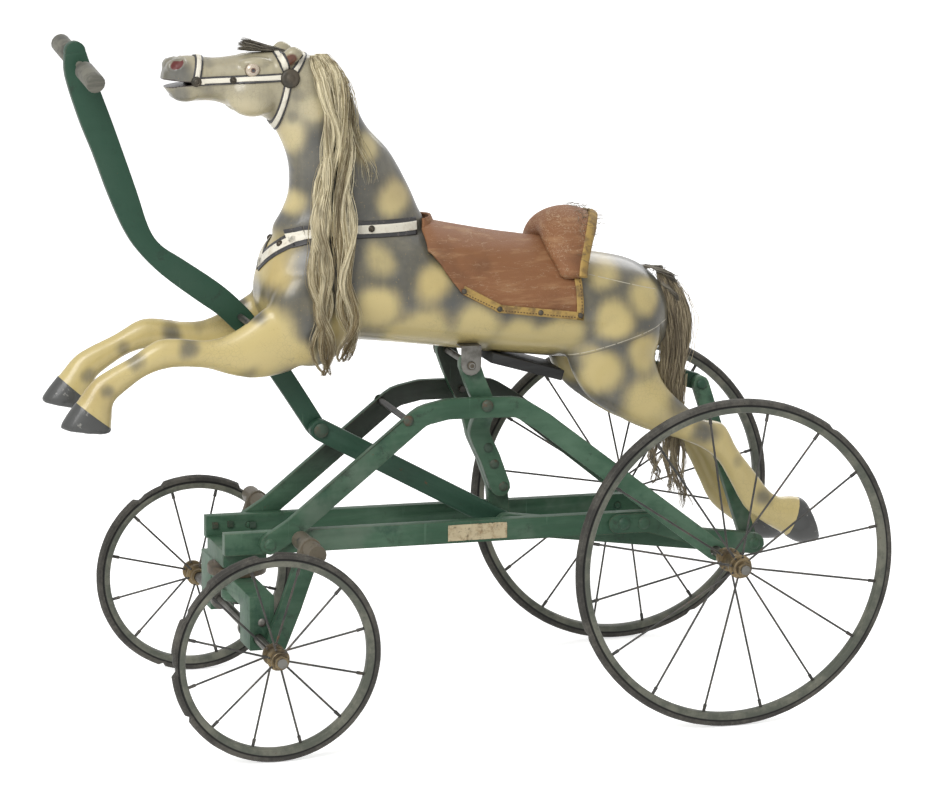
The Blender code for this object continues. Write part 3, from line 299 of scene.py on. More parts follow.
def saddleLeather(name, scuff):
    look = leatherLook
    paint = Paint(name, Coat_Weight=0.04, Coat_Roughness=0.4, Specular_IOR_Level=0.25)
    broad, fine, grain = paint.noise(12, 5), paint.noise(300, 3), paint.cells(620)
    creases = paint.noise(30, 4, 0.6, paint.stretched(0.6, 1, 4))
    threads = paint.step(paint.noise(30, 5, 0.62).math("PINGPONG", 0.035), 0.0050, 0.0)
    threads = threads * paint.step(paint.noise(26, 4), 0.58 - scuff * 1.6, 0.66 - scuff * 1.6)
    cracks = paint.step(paint.noise(9, 5, 0.6, paint.stretched(0.7, 1, 4.5)).math("PINGPONG", 0.06), 0.0035, 0.0)
    worn = (threads + cracks * 0.8).math("MINIMUM", 1.0)
    colour = paint.layered(
        paint.mix(look["brown"], look["dark"], paint.step(broad, 0.48, 0.72) * 0.6),
        (look["tan"], paint.step(creases, 0.52, 0.68) * 0.55), (look["fray"], worn * (0.45 + scuff * 3.0)),
    )
    height = grain * 3.0 + creases * 0.8 + fine * 0.3 - worn * 0.5
    return paint.finish(colour, 0.48 + fine * 0.2, height, 0.35, 0.0010)


clothLook = {
    "tape": (0.40, 0.260, 0.075), "tapeDirt": (0.19, 0.120, 0.045), "stitch": (0.10, 0.058, 0.02),
    "stitches": 260.0,  # in each metre of tape
    "strap": (0.74, 0.70, 0.59), "strapDirt": (0.52, 0.45, 0.33), "strapCrack": (0.14, 0.11, 0.08),
    "black": (0.022, 0.021, 0.022), "blackWear": (0.085, 0.075, 0.066),
}


def tapeCloth():
    # Yellow carpet tape with a line of stitches along each edge.
    look = clothLook
    paint = Paint("yellowTape", 0.75)
    weave = paint.noise(900, 2)
    away = (paint.attribute("across").math("ABSOLUTE") - 0.55).math("ABSOLUTE")
    dashes = paint.step((paint.attribute("along") * look["stitches"]).math("FRACT"), 0.35, 0.45)
    stitch = paint.step(away, 0.20, 0.10) * dashes
    colour = paint.mix(look["tape"], look["tapeDirt"], paint.step(paint.noise(90, 4), 0.42, 0.66))
    return paint.finish(paint.mix(colour, look["stitch"], stitch), None, weave + stitch * 1.2, 0.6, 0.0008)


def strapCloth():
    look = clothLook
    paint = Paint("whiteStrap", 0.5, Coat_Weight=0.25, Coat_Roughness=0.3)
    fine, dirt = paint.noise(500, 3), paint.step(paint.noise(60, 5, 0.7), 0.50, 0.75)
    cracks = paint.step(paint.noise(180, 5, 0.7, paint.stretched(2.5, 1, 1)), 0.64, 0.70)
    colour = paint.mix(paint.mix(look["strap"], look["strapDirt"], dirt * 0.8), look["strapCrack"], cracks * 0.7)
    return paint.finish(colour, 0.45 + fine * 0.2, fine - cracks, 0.3, 0.0005)


def darkLeather():
    paint = Paint("blackStrapEdge", 0.45, Coat_Weight=0.2, Coat_Roughness=0.3)
    fine, wear = paint.noise(400, 4), paint.step(paint.noise(110, 5, 0.7), 0.52, 0.72)
    colour = paint.mix(clothLook["black"], clothLook["blackWear"], wear)
    return paint.finish(colour, 0.4 + fine * 0.25, fine, 0.3, 0.0005)


hairTints = {  # a name, then the colours of roots, tips, shadows and the low ends
    "mane": ("strawMane", (0.30, 0.245, 0.130), (0.74, 0.665, 0.460), (0.12, 0.090, 0.050), (0.155, 0.098, 0.028)),
    "tail": ("brownTail", (0.17, 0.135, 0.085), (0.44, 0.37, 0.24), (0.065, 0.05, 0.035), (0.17, 0.14, 0.10)),
    "forelock": (
        "greyForelock", (0.070, 0.060, 0.045), (0.20, 0.18, 0.14), (0.035, 0.030, 0.024), (0.08, 0.07, 0.05),
    ),
}


def hairLook(name, root, tip, shade, ochre):
    paint = Paint(name, 0.48, Coat_Weight=0.05, Coat_Roughness=0.35, Specular_IOR_Level=0.30)
    streaks = paint.noise(500, 2, 0.5, paint.stretched(1, 1, 0.035))
    clumps = paint.noise(70, 3, 0.6, paint.stretched(1, 1, 0.14))
    tone, low = paint.attribute("tone"), paint.attribute("low")
    colour = paint.layered(
        paint.mix(root, tip, paint.step(tone + streaks * 0.3, 0.35, 1.0)), (ochre, low * paint.step(tone, 1.25, 0.30)),
        (shade, paint.step(clumps, 0.50, 0.66) * 0.55), (shade, paint.step(tone, 0.30, 0.05) * 0.9),
    )
    return paint.finish(colour, None, streaks, 0.3, 0.0004)


metalTints = {  # a name, base, tarnish and rust, then roughness, metallic and where rust starts
    "steel": ("dullSteel", (0.170, 0.165, 0.150), (0.095, 0.090, 0.080), (0.16, 0.075, 0.035), 0.40, 1.0, 0.62),
    "black": ("blackSteel", (0.045, 0.045, 0.043), (0.085, 0.078, 0.068), (0.16, 0.075, 0.035), 0.42, 0.7, 0.62),
    "brass": ("tarnishedBrass", (0.205, 0.155, 0.085), (0.085, 0.068, 0.046), (0.07, 0.055, 0.035), 0.38, 0.9, 0.60),
    "bolt": ("brownBolt", (0.080, 0.066, 0.048), (0.045, 0.042, 0.034), (0.16, 0.075, 0.035), 0.45, 0.6, 0.66),
    "heads": ("paintedIron", (0.030, 0.056, 0.036), (0.052, 0.058, 0.038), (0.085, 0.050, 0.028), 0.45, 0.2, 0.56),
}


def metalLook(name, base, tarnish, rust, roughness, metallic, bare):
    paint = Paint(name, roughness, metallic)
    grain, patches = paint.noise(160, 5, 0.7), paint.noise(38, 5, 0.65)
    rusty = paint.step(patches * 0.5 + grain * 0.5, bare - 0.05, bare + 0.04)
    colour = paint.mix(paint.mix(base, tarnish, paint.step(patches, 0.40, 0.66)), rust, rusty * 0.8)
    dull = roughness + grain * 0.22 + rusty * 0.2
    return paint.finish(colour, dull, grain + rusty * 0.5, 0.35, 0.0005, metallic - rusty * metallic * 0.8)


woodTints = {  # a name, then light and dark grain, and worn edges
    "wood": ("gripWood", (0.165, 0.160, 0.130), (0.075, 0.075, 0.062), (0.28, 0.20, 0.12)),
    # belly: painted shade, the board under the belly is coloured nearly black, like the shade it sits in
    "belly": ("bellyBoardShade", (0.030, 0.031, 0.030), (0.014, 0.014, 0.014), (0.085, 0.075, 0.06)),
    "boss": ("bossWood", (0.105, 0.080, 0.050), (0.050, 0.040, 0.028), (0.20, 0.14, 0.085)),
}


def woodLook(name, light, dark, wear):
    paint = Paint(name, 0.5, Coat_Weight=0.05, Coat_Roughness=0.35, Specular_IOR_Level=0.30)
    grain, fine = paint.noise(60, 5, 0.6, paint.stretched(0.12, 1, 1)), paint.noise(240, 4, 0.6)
    worn = paint.step(paint.edges(0.003) + fine * 0.3, 0.36, 0.48)
    colour = paint.mix(paint.mix(light, dark, paint.step(grain, 0.38, 0.66)), wear, worn * 0.8)
    return paint.finish(colour, 0.45 + fine * 0.2, grain + fine * 0.3, 0.4, 0.0007)


wheelLook = {
    "rubber": (0.038, 0.036, 0.032), "rubberGrey": (0.100, 0.094, 0.080), "rubberEdgeHighlight": (0.24, 0.23, 0.20),
    "rubberCrack": (0.012, 0.011, 0.010), "grooveShade": (0.008, 0.008, 0.007),
    "rim": (0.085, 0.092, 0.073), "rimPale": (0.165, 0.165, 0.130), "rimWearAndHighlight": (0.30, 0.28, 0.22),
    "rimLipShade": (0.010, 0.010, 0.009), "rimRust": (0.085, 0.046, 0.025),
}


def tyreRubber():
    look = wheelLook
    paint = Paint("oldRubber", 0.7, Specular_IOR_Level=0.30)
    grain, patches, ring = paint.noise(220, 4, 0.7), paint.noise(26, 4), paint.attribute("ring")
    # Painted highlight: a lighter line along the tyre's sharp edges, on its outer part.
    edge = paint.step(paint.edges(0.002) + grain * 0.2, 0.20, 0.34)
    cracks = paint.step(paint.noise(130, 5, 0.75, paint.stretched(1, 3, 1)), 0.66, 0.70)
    colour = paint.layered(
        paint.mix(look["rubber"], look["rubberGrey"], paint.step(patches * 0.6 + grain * 0.4, 0.38, 0.66)),
        # Painted shade: the tyre darkens where it meets the rim.
        (look["grooveShade"], paint.step(ring, 0.28, 0.08)), (look["rubberEdgeHighlight"], edge * 0.6 * paint.step(ring, 0.5, 0.8)),
        (look["rubberCrack"], cracks * 0.8),
    )
    return paint.finish(colour, 0.6 + grain * 0.25, grain - cracks * 1.2, 0.5, 0.0008)


def rimPaint():
    look = wheelLook
    paint = Paint("wornRimPaint", 0.5, Specular_IOR_Level=0.30)
    grain, patches = paint.noise(200, 5, 0.7), paint.noise(30, 5, 0.7)
    # Worn paint and a painted highlight: the rim's sharp edges are lightened.
    worn = paint.step(paint.edges(0.0015) + grain * 0.25, 0.30, 0.42)
    rust = paint.step(patches * 0.4 + grain * 0.6, 0.60, 0.68)
    colour = paint.layered(
        paint.mix(look["rim"], look["rimPale"], paint.step(patches, 0.40, 0.66)), (look["rimWearAndHighlight"], worn * 0.6),
        # Painted shade: the rim darkens next to the tyre.
        (look["rimLipShade"], paint.step(paint.attribute("ring"), 0.16, 0.06)), (look["rimRust"], rust * 0.7),
    )
    return paint.finish(colour, 0.42 + grain * 0.25, grain, 0.35, 0.0005)


paperTints = {"paper": (0.50, 0.42, 0.27), "stain": (0.27, 0.19, 0.10), "torn": (0.055, 0.060, 0.045)}


def paperLook():
    paint = Paint("agedPaper", 0.85)
    fibre, stain = paint.noise(900, 3), paint.noise(80, 5, 0.7)
    torn = paint.step(paint.noise(190, 5, 0.8), 0.60, 0.64)
    colour = paint.mix(paperTints["paper"], paperTints["stain"], paint.step(stain, 0.46, 0.70))
    return paint.finish(paint.mix(colour, paperTints["torn"], torn * 0.65), None, fibre + stain, 0.4, 0.0003)


eyeLook = {
    "pupil": (0.006, 0.004, 0.004), "ring": (0.13, 0.055, 0.030), "rim": (0.20, 0.16, 0.10),
    "iris": ((0.55, 0.47, 0.36), (0.40, 0.31, 0.22)),
    "edges": [(0.0018, 0.0023), (0.0027, 0.0037), (0.0078, 0.0086)],  # where pupil, brown ring and iris end
}


def glassEye():
    look = eyeLook
    paint = Paint("glassEye", 0.04, Coat_Weight=1.0, Coat_Roughness=0.02)
    iris = paint.mix(*look["iris"], paint.step(paint.noise(900, 3), 0.4, 0.6))
    outside = [paint.step(paint.attribute("far"), *edge) for edge in look["edges"]]
    return paint.finish(paint.layered(look["pupil"], *zip((look["ring"], iris, look["rim"]), outside)))


finishes = {
    "green": greenPaint("wornGreenPaint"),
    "footBar": greenPaint("footBarPaint", pegs=True, deepen=0.15),
    "lever": greenPaint("leverPaint", deepen=0.70),
    "coat": coatPaint(),
    "leather": saddleLeather("saddleLeather", 0.0),
    "frayed": saddleLeather("frayedLeather", 0.10),
    "tape": tapeCloth(),
    "strap": strapCloth(),
    "strapEdge": darkLeather(),
    "rubber": tyreRubber(),
    "rim": rimPaint(),
    "paper": paperLook(),
    "eye": glassEye(),
    **{key: hairLook(*row) for key, row in hairTints.items()},
    **{key: metalLook(*row) for key, row in metalTints.items()},
    **{key: woodLook(*row) for key, row in woodTints.items()},
}
print("finishes made")


tiny = 1e-6  # points closer than this are one
sharpAngle = math.radians(35)  # edges sharper than this are eased
signs = {"left": -1, "right": 1}  # of Y


def placed(name, data):
    thing = bpy.data.objects.new(name, data)
    bpy.context.scene.collection.objects.link(thing)
    return thing


def meshOf(bm, name):
    mesh = bpy.data.meshes.new(name)
    bm.to_mesh(mesh)
    bm.free()
    return mesh


def copyOf(mesh):
    bm = bmesh.new()
    bm.from_mesh(mesh)
    return bm


def keep(bm, name, body, slot, finish, replaced=(), smooth=40.0, turnFaces=True):
    if turnFaces:
        bmesh.ops.recalc_face_normals(bm, faces=bm.faces)
    return keepMesh(meshOf(bm, name), name, body, finish, replaced, smooth)


def keepMesh(mesh, name, body, finish, replaced=(), smooth=40.0):
    piece = placed(name, mesh)
    mesh.materials.clear()
    mesh.materials.append(finishes[finish])
    mesh.shade_smooth()
    if smooth:
        mesh.set_sharp_from_angle(angle=math.radians(smooth))
    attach(piece, body)
    if replaced:
        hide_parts(*replaced)
    return piece


def evaluated(data, *steps):
    # The mesh of a mesh or curve after modifiers, each given as its kind and its settings.
    holder = placed("holder", data)
    for kind, settings in steps:
        step = holder.modifiers.new(kind.lower(), kind)
        for key, value in settings.items():
            setattr(step, key, value)
    result = bpy.data.meshes.new_from_object(holder.evaluated_get(bpy.context.evaluated_depsgraph_get()))
    bpy.data.objects.remove(holder)
    return result


def hairCurve(name, thickness):
    curve = bpy.data.curves.new(name, "CURVE")
    curve.dimensions = "3D"
    curve.bevel_depth = thickness
    curve.bevel_resolution = 0
    return curve


def ringOf(bm, sides, matrix):
    verts = bmesh.ops.create_circle(bm, segments=sides, radius=1, matrix=matrix)["verts"]
    return list({edge for vert in verts for edge in vert.link_edges})


def skin(bm, rings):
    for lower, upper in zip(rings, rings[1:]):
        bmesh.ops.bridge_loops(bm, edges=lower + upper)
    for end in (rings[0], rings[-1]):
        bmesh.ops.edgeloop_fill(bm, edges=end)


def ovalAt(middle, firstArm, secondArm):
    across = firstArm.cross(secondArm).normalized()
    matrix = Matrix((firstArm, secondArm, across)).transposed().to_4x4()
    matrix.translation = middle
    return matrix


def metres(rows):
    return [[value / 1000 for value in row] for row in rows]


def eased(rows, steps):
    result = []
    for index in range(len(rows) - 1):
        before, start = rows[max(index - 1, 0)], rows[index]
        end, after = rows[index + 1], rows[min(index + 2, len(rows) - 1)]
        for step in range(steps):
            t = step / steps
            row = []
            for a, b, c, d in zip(before, start, end, after):
                curve = (2 * a - 5 * b + 4 * c - d) * t**2 + (3 * b - a - 3 * c + d) * t**3
                row.append(0.5 * (2 * b + (c - a) * t + curve))
            result.append(row)
    return result + [list(rows[-1])]


def loft(bm, sections, sides, steps, side=1):
    # Upright ovals given as x, z of one end, x, z of the other, half width and y.
    rings = []
    for x0, z0, x1, z1, half, y in eased(sections, steps):
        low, high = at(x0, z0, y * side), at(x1, z1, y * side)
        rings.append(ringOf(bm, sides, ovalAt((low + high) / 2, (high - low) / 2, yAxis * half)))
    skin(bm, rings)


def scaledAt(centre, size):
    return Matrix.Translation(centre) @ Matrix.Diagonal((*size, 1))


def block(bm, centre, size):
    bmesh.ops.create_cube(bm, size=1, matrix=scaledAt(centre, size))


def ball(bm, centre, size, divisions):
    around, along = divisions
    bmesh.ops.create_uvsphere(bm, u_segments=around, v_segments=along, radius=1, matrix=scaledAt(centre, size))


def spun(bm, profile, centre, steps, axis=(0, 1, 0)):
    # A closed ring of (radius, distance along the axis) points, or an open one that starts and ends on it.
    axis = Vector(axis)
    out = Vector((1, 0, 0))
    verts = [bm.verts.new(centre + out * radius + axis * along) for radius, along in profile]
    ends = verts[1:] + verts[:1] if profile[0][0] > 0 else verts[1:]
    edges = [bm.edges.new(pair) for pair in zip(verts, ends)]
    before = set(bm.verts) - set(verts)
    bmesh.ops.spin(
        bm, geom=verts + edges, cent=centre, axis=axis, dvec=(0, 0, 0), angle=math.tau, steps=steps, use_merge=True
    )
    fresh = [vert for vert in bm.verts if vert not in before]
    bmesh.ops.remove_doubles(bm, verts=fresh, dist=tiny)
    return [vert for vert in bm.verts if vert not in before]


def bar(bm, start, end, radius, sides=16, taper=1.0):
    turn = (end - start).to_track_quat("Z", "Y").to_matrix().to_4x4()
    turn.translation = (start + end) / 2
    bmesh.ops.create_cone(
        bm, cap_ends=True, segments=sides, radius1=radius, radius2=radius * taper, depth=(end - start).length,
        matrix=turn,
    )


def joined(parts):
    result = bmesh.new()
    for part in parts:
        result.from_mesh(meshOf(part, "part"))
    return result


def easedEdges(bm, width):
    pairs = [edge for edge in bm.edges if len(edge.link_faces) == 2]
    sharp = [edge for edge in pairs if edge.calc_face_angle(0) > sharpAngle]
    bmesh.ops.bevel(
        bm, geom=sharp, offset=width, segments=2, profile=0.5, affect="EDGES", material=-1, clamp_overlap=True
    )


def cutBeyond(bm, point, outward):
    # Removes what lies beyond a plane.
    everything = bm.verts[:] + bm.edges[:] + bm.faces[:]
    bmesh.ops.bisect_plane(bm, geom=everything, plane_co=point, plane_no=outward, clear_outer=True, dist=tiny)


def smoothed(bm, verts, times):
    for _ in range(times):
        bmesh.ops.smooth_vert(bm, verts=verts, factor=0.5, use_axis_x=True, use_axis_y=True, use_axis_z=True)


def domeHead(bm, centre, side, radius, height, sunk=0.0006):
    # A round bolt head that stands out along Y, from the face it sits on.
    profile = [(0, height), (radius * 0.45, height * 0.93), (radius * 0.8, height * 0.62), (radius, height * 0.2)]
    spun(bm, profile + [(radius, -sunk), (0, -sunk)], centre, 20, yAxis * side)


view = {
    "place": (-1.6906 + axleX, -4.6109, 1.3859),
    "turn": 17.087,
    "drop": 11.820,
    "roll": 0.412,
    "focal": 154.35,
    "lamps": {  # place, size and power
        "keyLamp": ((-2.4, -2.6, 3.0), 2.2, 120.0), "backLamp": ((2.2, 2.4, 2.8), 2.0, 42.0),
    },
    "aim": (0, 0, 0.35),  # where both lamps point
    "sun": 0.62,
    "sunTurn": (28, -18, 0),
    "sky": 0.36,
    "floor": (0.90, 0.90, 0.895),
    "floorSize": 60,
    "lift": 0.62,  # the floor's own light where it is seen
}


def makeView():
    scene = bpy.context.scene
    scene.view_settings.view_transform = "Standard"
    camera = placed("camera", bpy.data.cameras.new("camera"))
    camera.data.lens, camera.data.sensor_width, camera.data.clip_end = view["focal"], 36, 200
    turn = Matrix.Rotation(-math.radians(view["turn"]), 4, "Z")
    tilt = Matrix.Rotation(math.radians(90 - view["drop"]), 4, "X")
    roll = Matrix.Rotation(math.radians(view["roll"]), 4, "Z")
    camera.matrix_world = Matrix.Translation(view["place"]) @ turn @ tilt @ roll
    scene.camera = camera

    for name, (place, size, power) in view["lamps"].items():
        lamp = placed(name, bpy.data.lights.new(name, "AREA"))
        lamp.data.size, lamp.data.energy = size, power
        lamp.location = place
        lamp.rotation_euler = (Vector(view["aim"]) - Vector(place)).to_track_quat("-Z", "Y").to_euler()
    sun = placed("sun", bpy.data.lights.new("sun", "SUN"))
    sun.data.energy, sun.data.angle = view["sun"], math.radians(50)
    sun.rotation_euler = [math.radians(degrees) for degrees in view["sunTurn"]]

    scene.world = bpy.data.worlds.new("studio")
    scene.world.use_nodes = True
    scene.world.node_tree.nodes.clear()
    sky = Nodes(scene.world.node_tree)
    soft, bright = [
        sky.node("Background", {}, {"Color": (1, 1, 1, 1), "Strength": strength}) for strength in (view["sky"], 1.0)
    ]
    sky.node("OutputWorld", {}, {0: sky.node("MixShader", {}, {0: sky.backdrop(), 1: soft, 2: bright})})

    bm = bmesh.new()
    bmesh.ops.create_grid(bm, x_segments=1, y_segments=1, size=view["floorSize"])
    floor = placed("floor", meshOf(bm, "floor"))
    paint = Paint("paleFloor", 0.9, Base_Color=(*view["floor"], 1), Emission_Strength=view["lift"])
    paint.tree.links.new(paint.backdrop().socket, paint.shader.inputs["Emission Color"])
    floor.data.materials.append(paint.material)


makeView()
print("camera, lamps and floor set")


boards = {
    "green_wood": [
        "rail_left", "rail_right", "a_frame_left", "a_frame_right", "post_prong_left", "post_prong_right",
        "rump_block", "drag_link", "pitman_strap", "tail_beam", "bolster", "foot_bar_left", "foot_bar_right",
    ],
    "worn_wood": ["belly_board", "steering_plate", "handle_bar"],
    "black_steel": ["axle_hanger_left", "axle_hanger_right"],
}
special = {
    "belly_board": "belly", "steering_plate": "boss", "foot_bar_left": "footBar", "foot_bar_right": "footBar",
    "axle_hanger_left": "green", "axle_hanger_right": "green", "drag_link": "lever", "rump_block": "lever",
}
boardFinish = {"green_wood": "green", "worn_wood": "wood"}
edgeWidths = {"wood": 0.0011, "steel": 0.0006}
bodyOf = {node: body for body, nodes in frame["record"]["behaviour"]["bodies"].items() for node in nodes}


def camel(name):
    head, *rest = name.split("_")
    return head + "".join(word.capitalize() for word in rest)


def plainSolid(node):
    # A CAD piece without the edges that only divide its flat faces.
    bm = copyOf(frame["nodes"][node].data)
    bmesh.ops.remove_doubles(bm, verts=bm.verts, dist=tiny)
    bmesh.ops.dissolve_limit(bm, angle_limit=math.radians(1), verts=bm.verts, edges=bm.edges)
    return bm


def easedBoard(node, slot):
    bm = plainSolid(node)
    easedEdges(bm, edgeWidths["steel" if slot == "black_steel" else "wood"])
    finish = special.get(node) or boardFinish[slot]
    keep(bm, camel(node) + "Eased", bodyOf[node], slot, finish, [node], turnFaces=False)


for slot, nodes in boards.items():
    for node in nodes:
        easedBoard(node, slot)


lever = {
    "rows": [  # front edge x and z, rear edge x and z, from the handle down to the elbow, in millimetres
        (-769.2, 817, -744.6, 820), (-768.5, 790, -736.5, 796), (-753, 739, -716.5, 742), (-737, 698, -702.5, 702),
        (-719, 648, -685.5, 652), (-701, 606, -671, 607), (-683, 578, -656, 585), (-654, 548, -630, 567),
        (-614, 517, -598, 545), (-589, 499, -577, 529), (-570, 481, -558, 511), (-556, 466, -540, 490),
        (-519, 414, -496, 424), (-475, 346, -456, 360),
    ],
    "elbow": (-0.464, 0.352),
    "handle": (-0.7569, 0.8190),
    "end": 0.0123,  # radius of the rounded ends
    "inset": 0.0002,
    "edge": 0.0012,
    "endEdge": 0.0010,
}


def makeLever():
    low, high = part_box("hand_lever")
    middle, half = (low.y + high.y) / 2, yAxis * ((high.y - low.y) / 2)
    bm = bmesh.new()
    rings = []
    for frontX, frontZ, rearX, rearZ in eased(metres(lever["rows"]), 4):
        front, rear = at(frontX, frontZ, middle), at(rearX, rearZ, middle)
        arm = (rear - front) / 2
        rings.append(ringOf(bm, 4, ovalAt((front + rear) / 2, arm + half, half - arm)))
    skin(bm, rings)
    easedEdges(bm, lever["edge"])
    parts = [bm]
    for end in ("elbow", "handle"):
        disc = bmesh.new()
        near, far = at(*lever[end], low.y + lever["inset"]), at(*lever[end], high.y - lever["inset"])
        bar(disc, near, far, lever["end"], 28)
        easedEdges(disc, lever["endEdge"])
        parts.append(disc)
    keep(joined(parts), "handLeverEased", "lever", "green_wood", "lever", ["hand_lever"])


headBlock = {"top": 0.2155, "pin": 0.0060, "pinEdge": 0.001, "head": 0.0088, "headSide": 0.004, "headRise": 0.0065}


def makeHeadBlock():
    # The block between the rails' front ends, low enough to leave the far rail's inner face open.
    low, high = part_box("head_block")
    top, head, pin, edge = [headBlock[key] for key in ("top", "head", "pin", "pinEdge")]
    high = Vector((high.x, high.y, top))
    bm = bmesh.new()
    block(bm, (low + high) / 2, high - low)
    easedEdges(bm, edgeWidths["wood"])
    keep(bm, "headBlockEased", "frame", "green_wood", "green", ["head_block"], turnFaces=False)
    low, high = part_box("kingpin")
    rise = top + headBlock["headRise"]
    profile = [(0, low.z), (pin - edge, low.z), (pin, low.z + edge), (pin, top), (head, top)]
    profile += [(head, top + headBlock["headSide"]), (head * 0.7, rise), (0, rise)]
    bm = bmesh.new()
    spun(bm, profile, Vector(((low.x + high.x) / 2, 0, 0)), 28, (0, 0, 1))
    keep(bm, "kingpinTurned", "frame", "black_steel", "black", ["kingpin"])


bracket = {"top": 0.4550, "foot": 0.0024, "reach": 0.030, "footEdge": 0.0008}


def makeBrackets():
    # Each plate ends under the belly, where it turns inward.
    top, ease = bracket["top"], bracket["footEdge"]
    for sideName, side in signs.items():
        node = f"pivot_bracket_{sideName}"
        low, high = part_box(node)
        plate = plainSolid(node)
        cutBeyond(plate, Vector((0, 0, top)), (0, 0, 1))
        bmesh.ops.holes_fill(plate, edges=[edge for edge in plate.edges if edge.is_boundary])
        easedEdges(plate, edgeWidths["steel"])
        outer = low.y if side < 0 else high.y
        size = Vector((high.x - low.x, bracket["reach"], bracket["foot"]))
        foot = bmesh.new()
        block(foot, ((low.x + high.x) / 2, outer - side * size.y / 2, top + size.z / 2 - ease), size)
        easedEdges(foot, ease)
        keep(joined([plate, foot]), camel(node) + "Bent", "horse", "dull_steel", "steel", [node])


makeLever()
makeHeadBlock()
makeBrackets()

plainNodes = {
    "black": ["apex_bolt_left", "apex_bolt_right", "tie_rod", "post_foot_pin", "elbow_bolt"],
    "steel": ["rocking_pivot_rod", "chest_pin", "front_axle", "rear_axle"],
}
for finish, nodes in plainNodes.items():
    for node in nodes:
        mesh = frame["nodes"][node].data
        mesh.materials.clear()
        mesh.materials.append(finishes[finish])
print("boards eased and painted")


wheels = {
    "rear": {
        "radius": 0.2032, "spokes": 16, "steps": 192,
        "hubIn": -0.038, "hubOut": 0.027, "flanges": (-0.020, 0.017), "barrel": 0.0095, "flange": 0.0145,
    },
    "front": {
        "radius": 0.127, "spokes": 12, "steps": 160,
        "hubIn": -0.026, "hubOut": 0.020, "flanges": (-0.014, 0.009), "barrel": 0.0095, "flange": 0.0135,
    },
    "tyreDepth": 0.0085,
    "tyreHalf": 0.00625,
    "rimHalf": 0.00725,
    "rimDepth": 0.0085,
    "rimWall": 0.0012,
    "seat": 0.004,
    "overlap": 0.0003,
    "roughness": 0.00025,
    "spoke": 0.0013,
    "lean": 0.012,
    "nipple": 0.011,
    "bore": 0.0066,
    "hubEdge": 0.0016,
    "nut": 0.0095,
    "washer": [(0.0062, 0), (0.0092, 0), (0.0092, 0.0012), (0.0062, 0.0012)],
}
# Where rubber has broken away from each tyre: an angle from the front of the wheel upward, half a width and a depth.
tyreBreaks = {
    "front_left": [
        (95, 5, 0.0045), (96, 2, 0.006), (140, 9, 0.0035), (151, 2, 0.0055), (184, 2, 0.0055), (179, 5, 0.0025),
        (212, 1.4, 0.004),
    ],
    "front_right": [(58, 3, 0.005), (117, 8, 0.004), (124, 2, 0.006), (250, 1.5, 0.004)],
    "rear_left": [(52, 1.2, 0.002), (203, 1.2, 0.002)],
    "rear_right": [(160, 1.2, 0.002), (300, 1.4, 0.0025)],
}


def mirrored(profile, *middle):
    # A profile, points in its middle plane, and its mirror image.
    return [*profile, *middle, *((distance, -along) for distance, along in profile[::-1])]


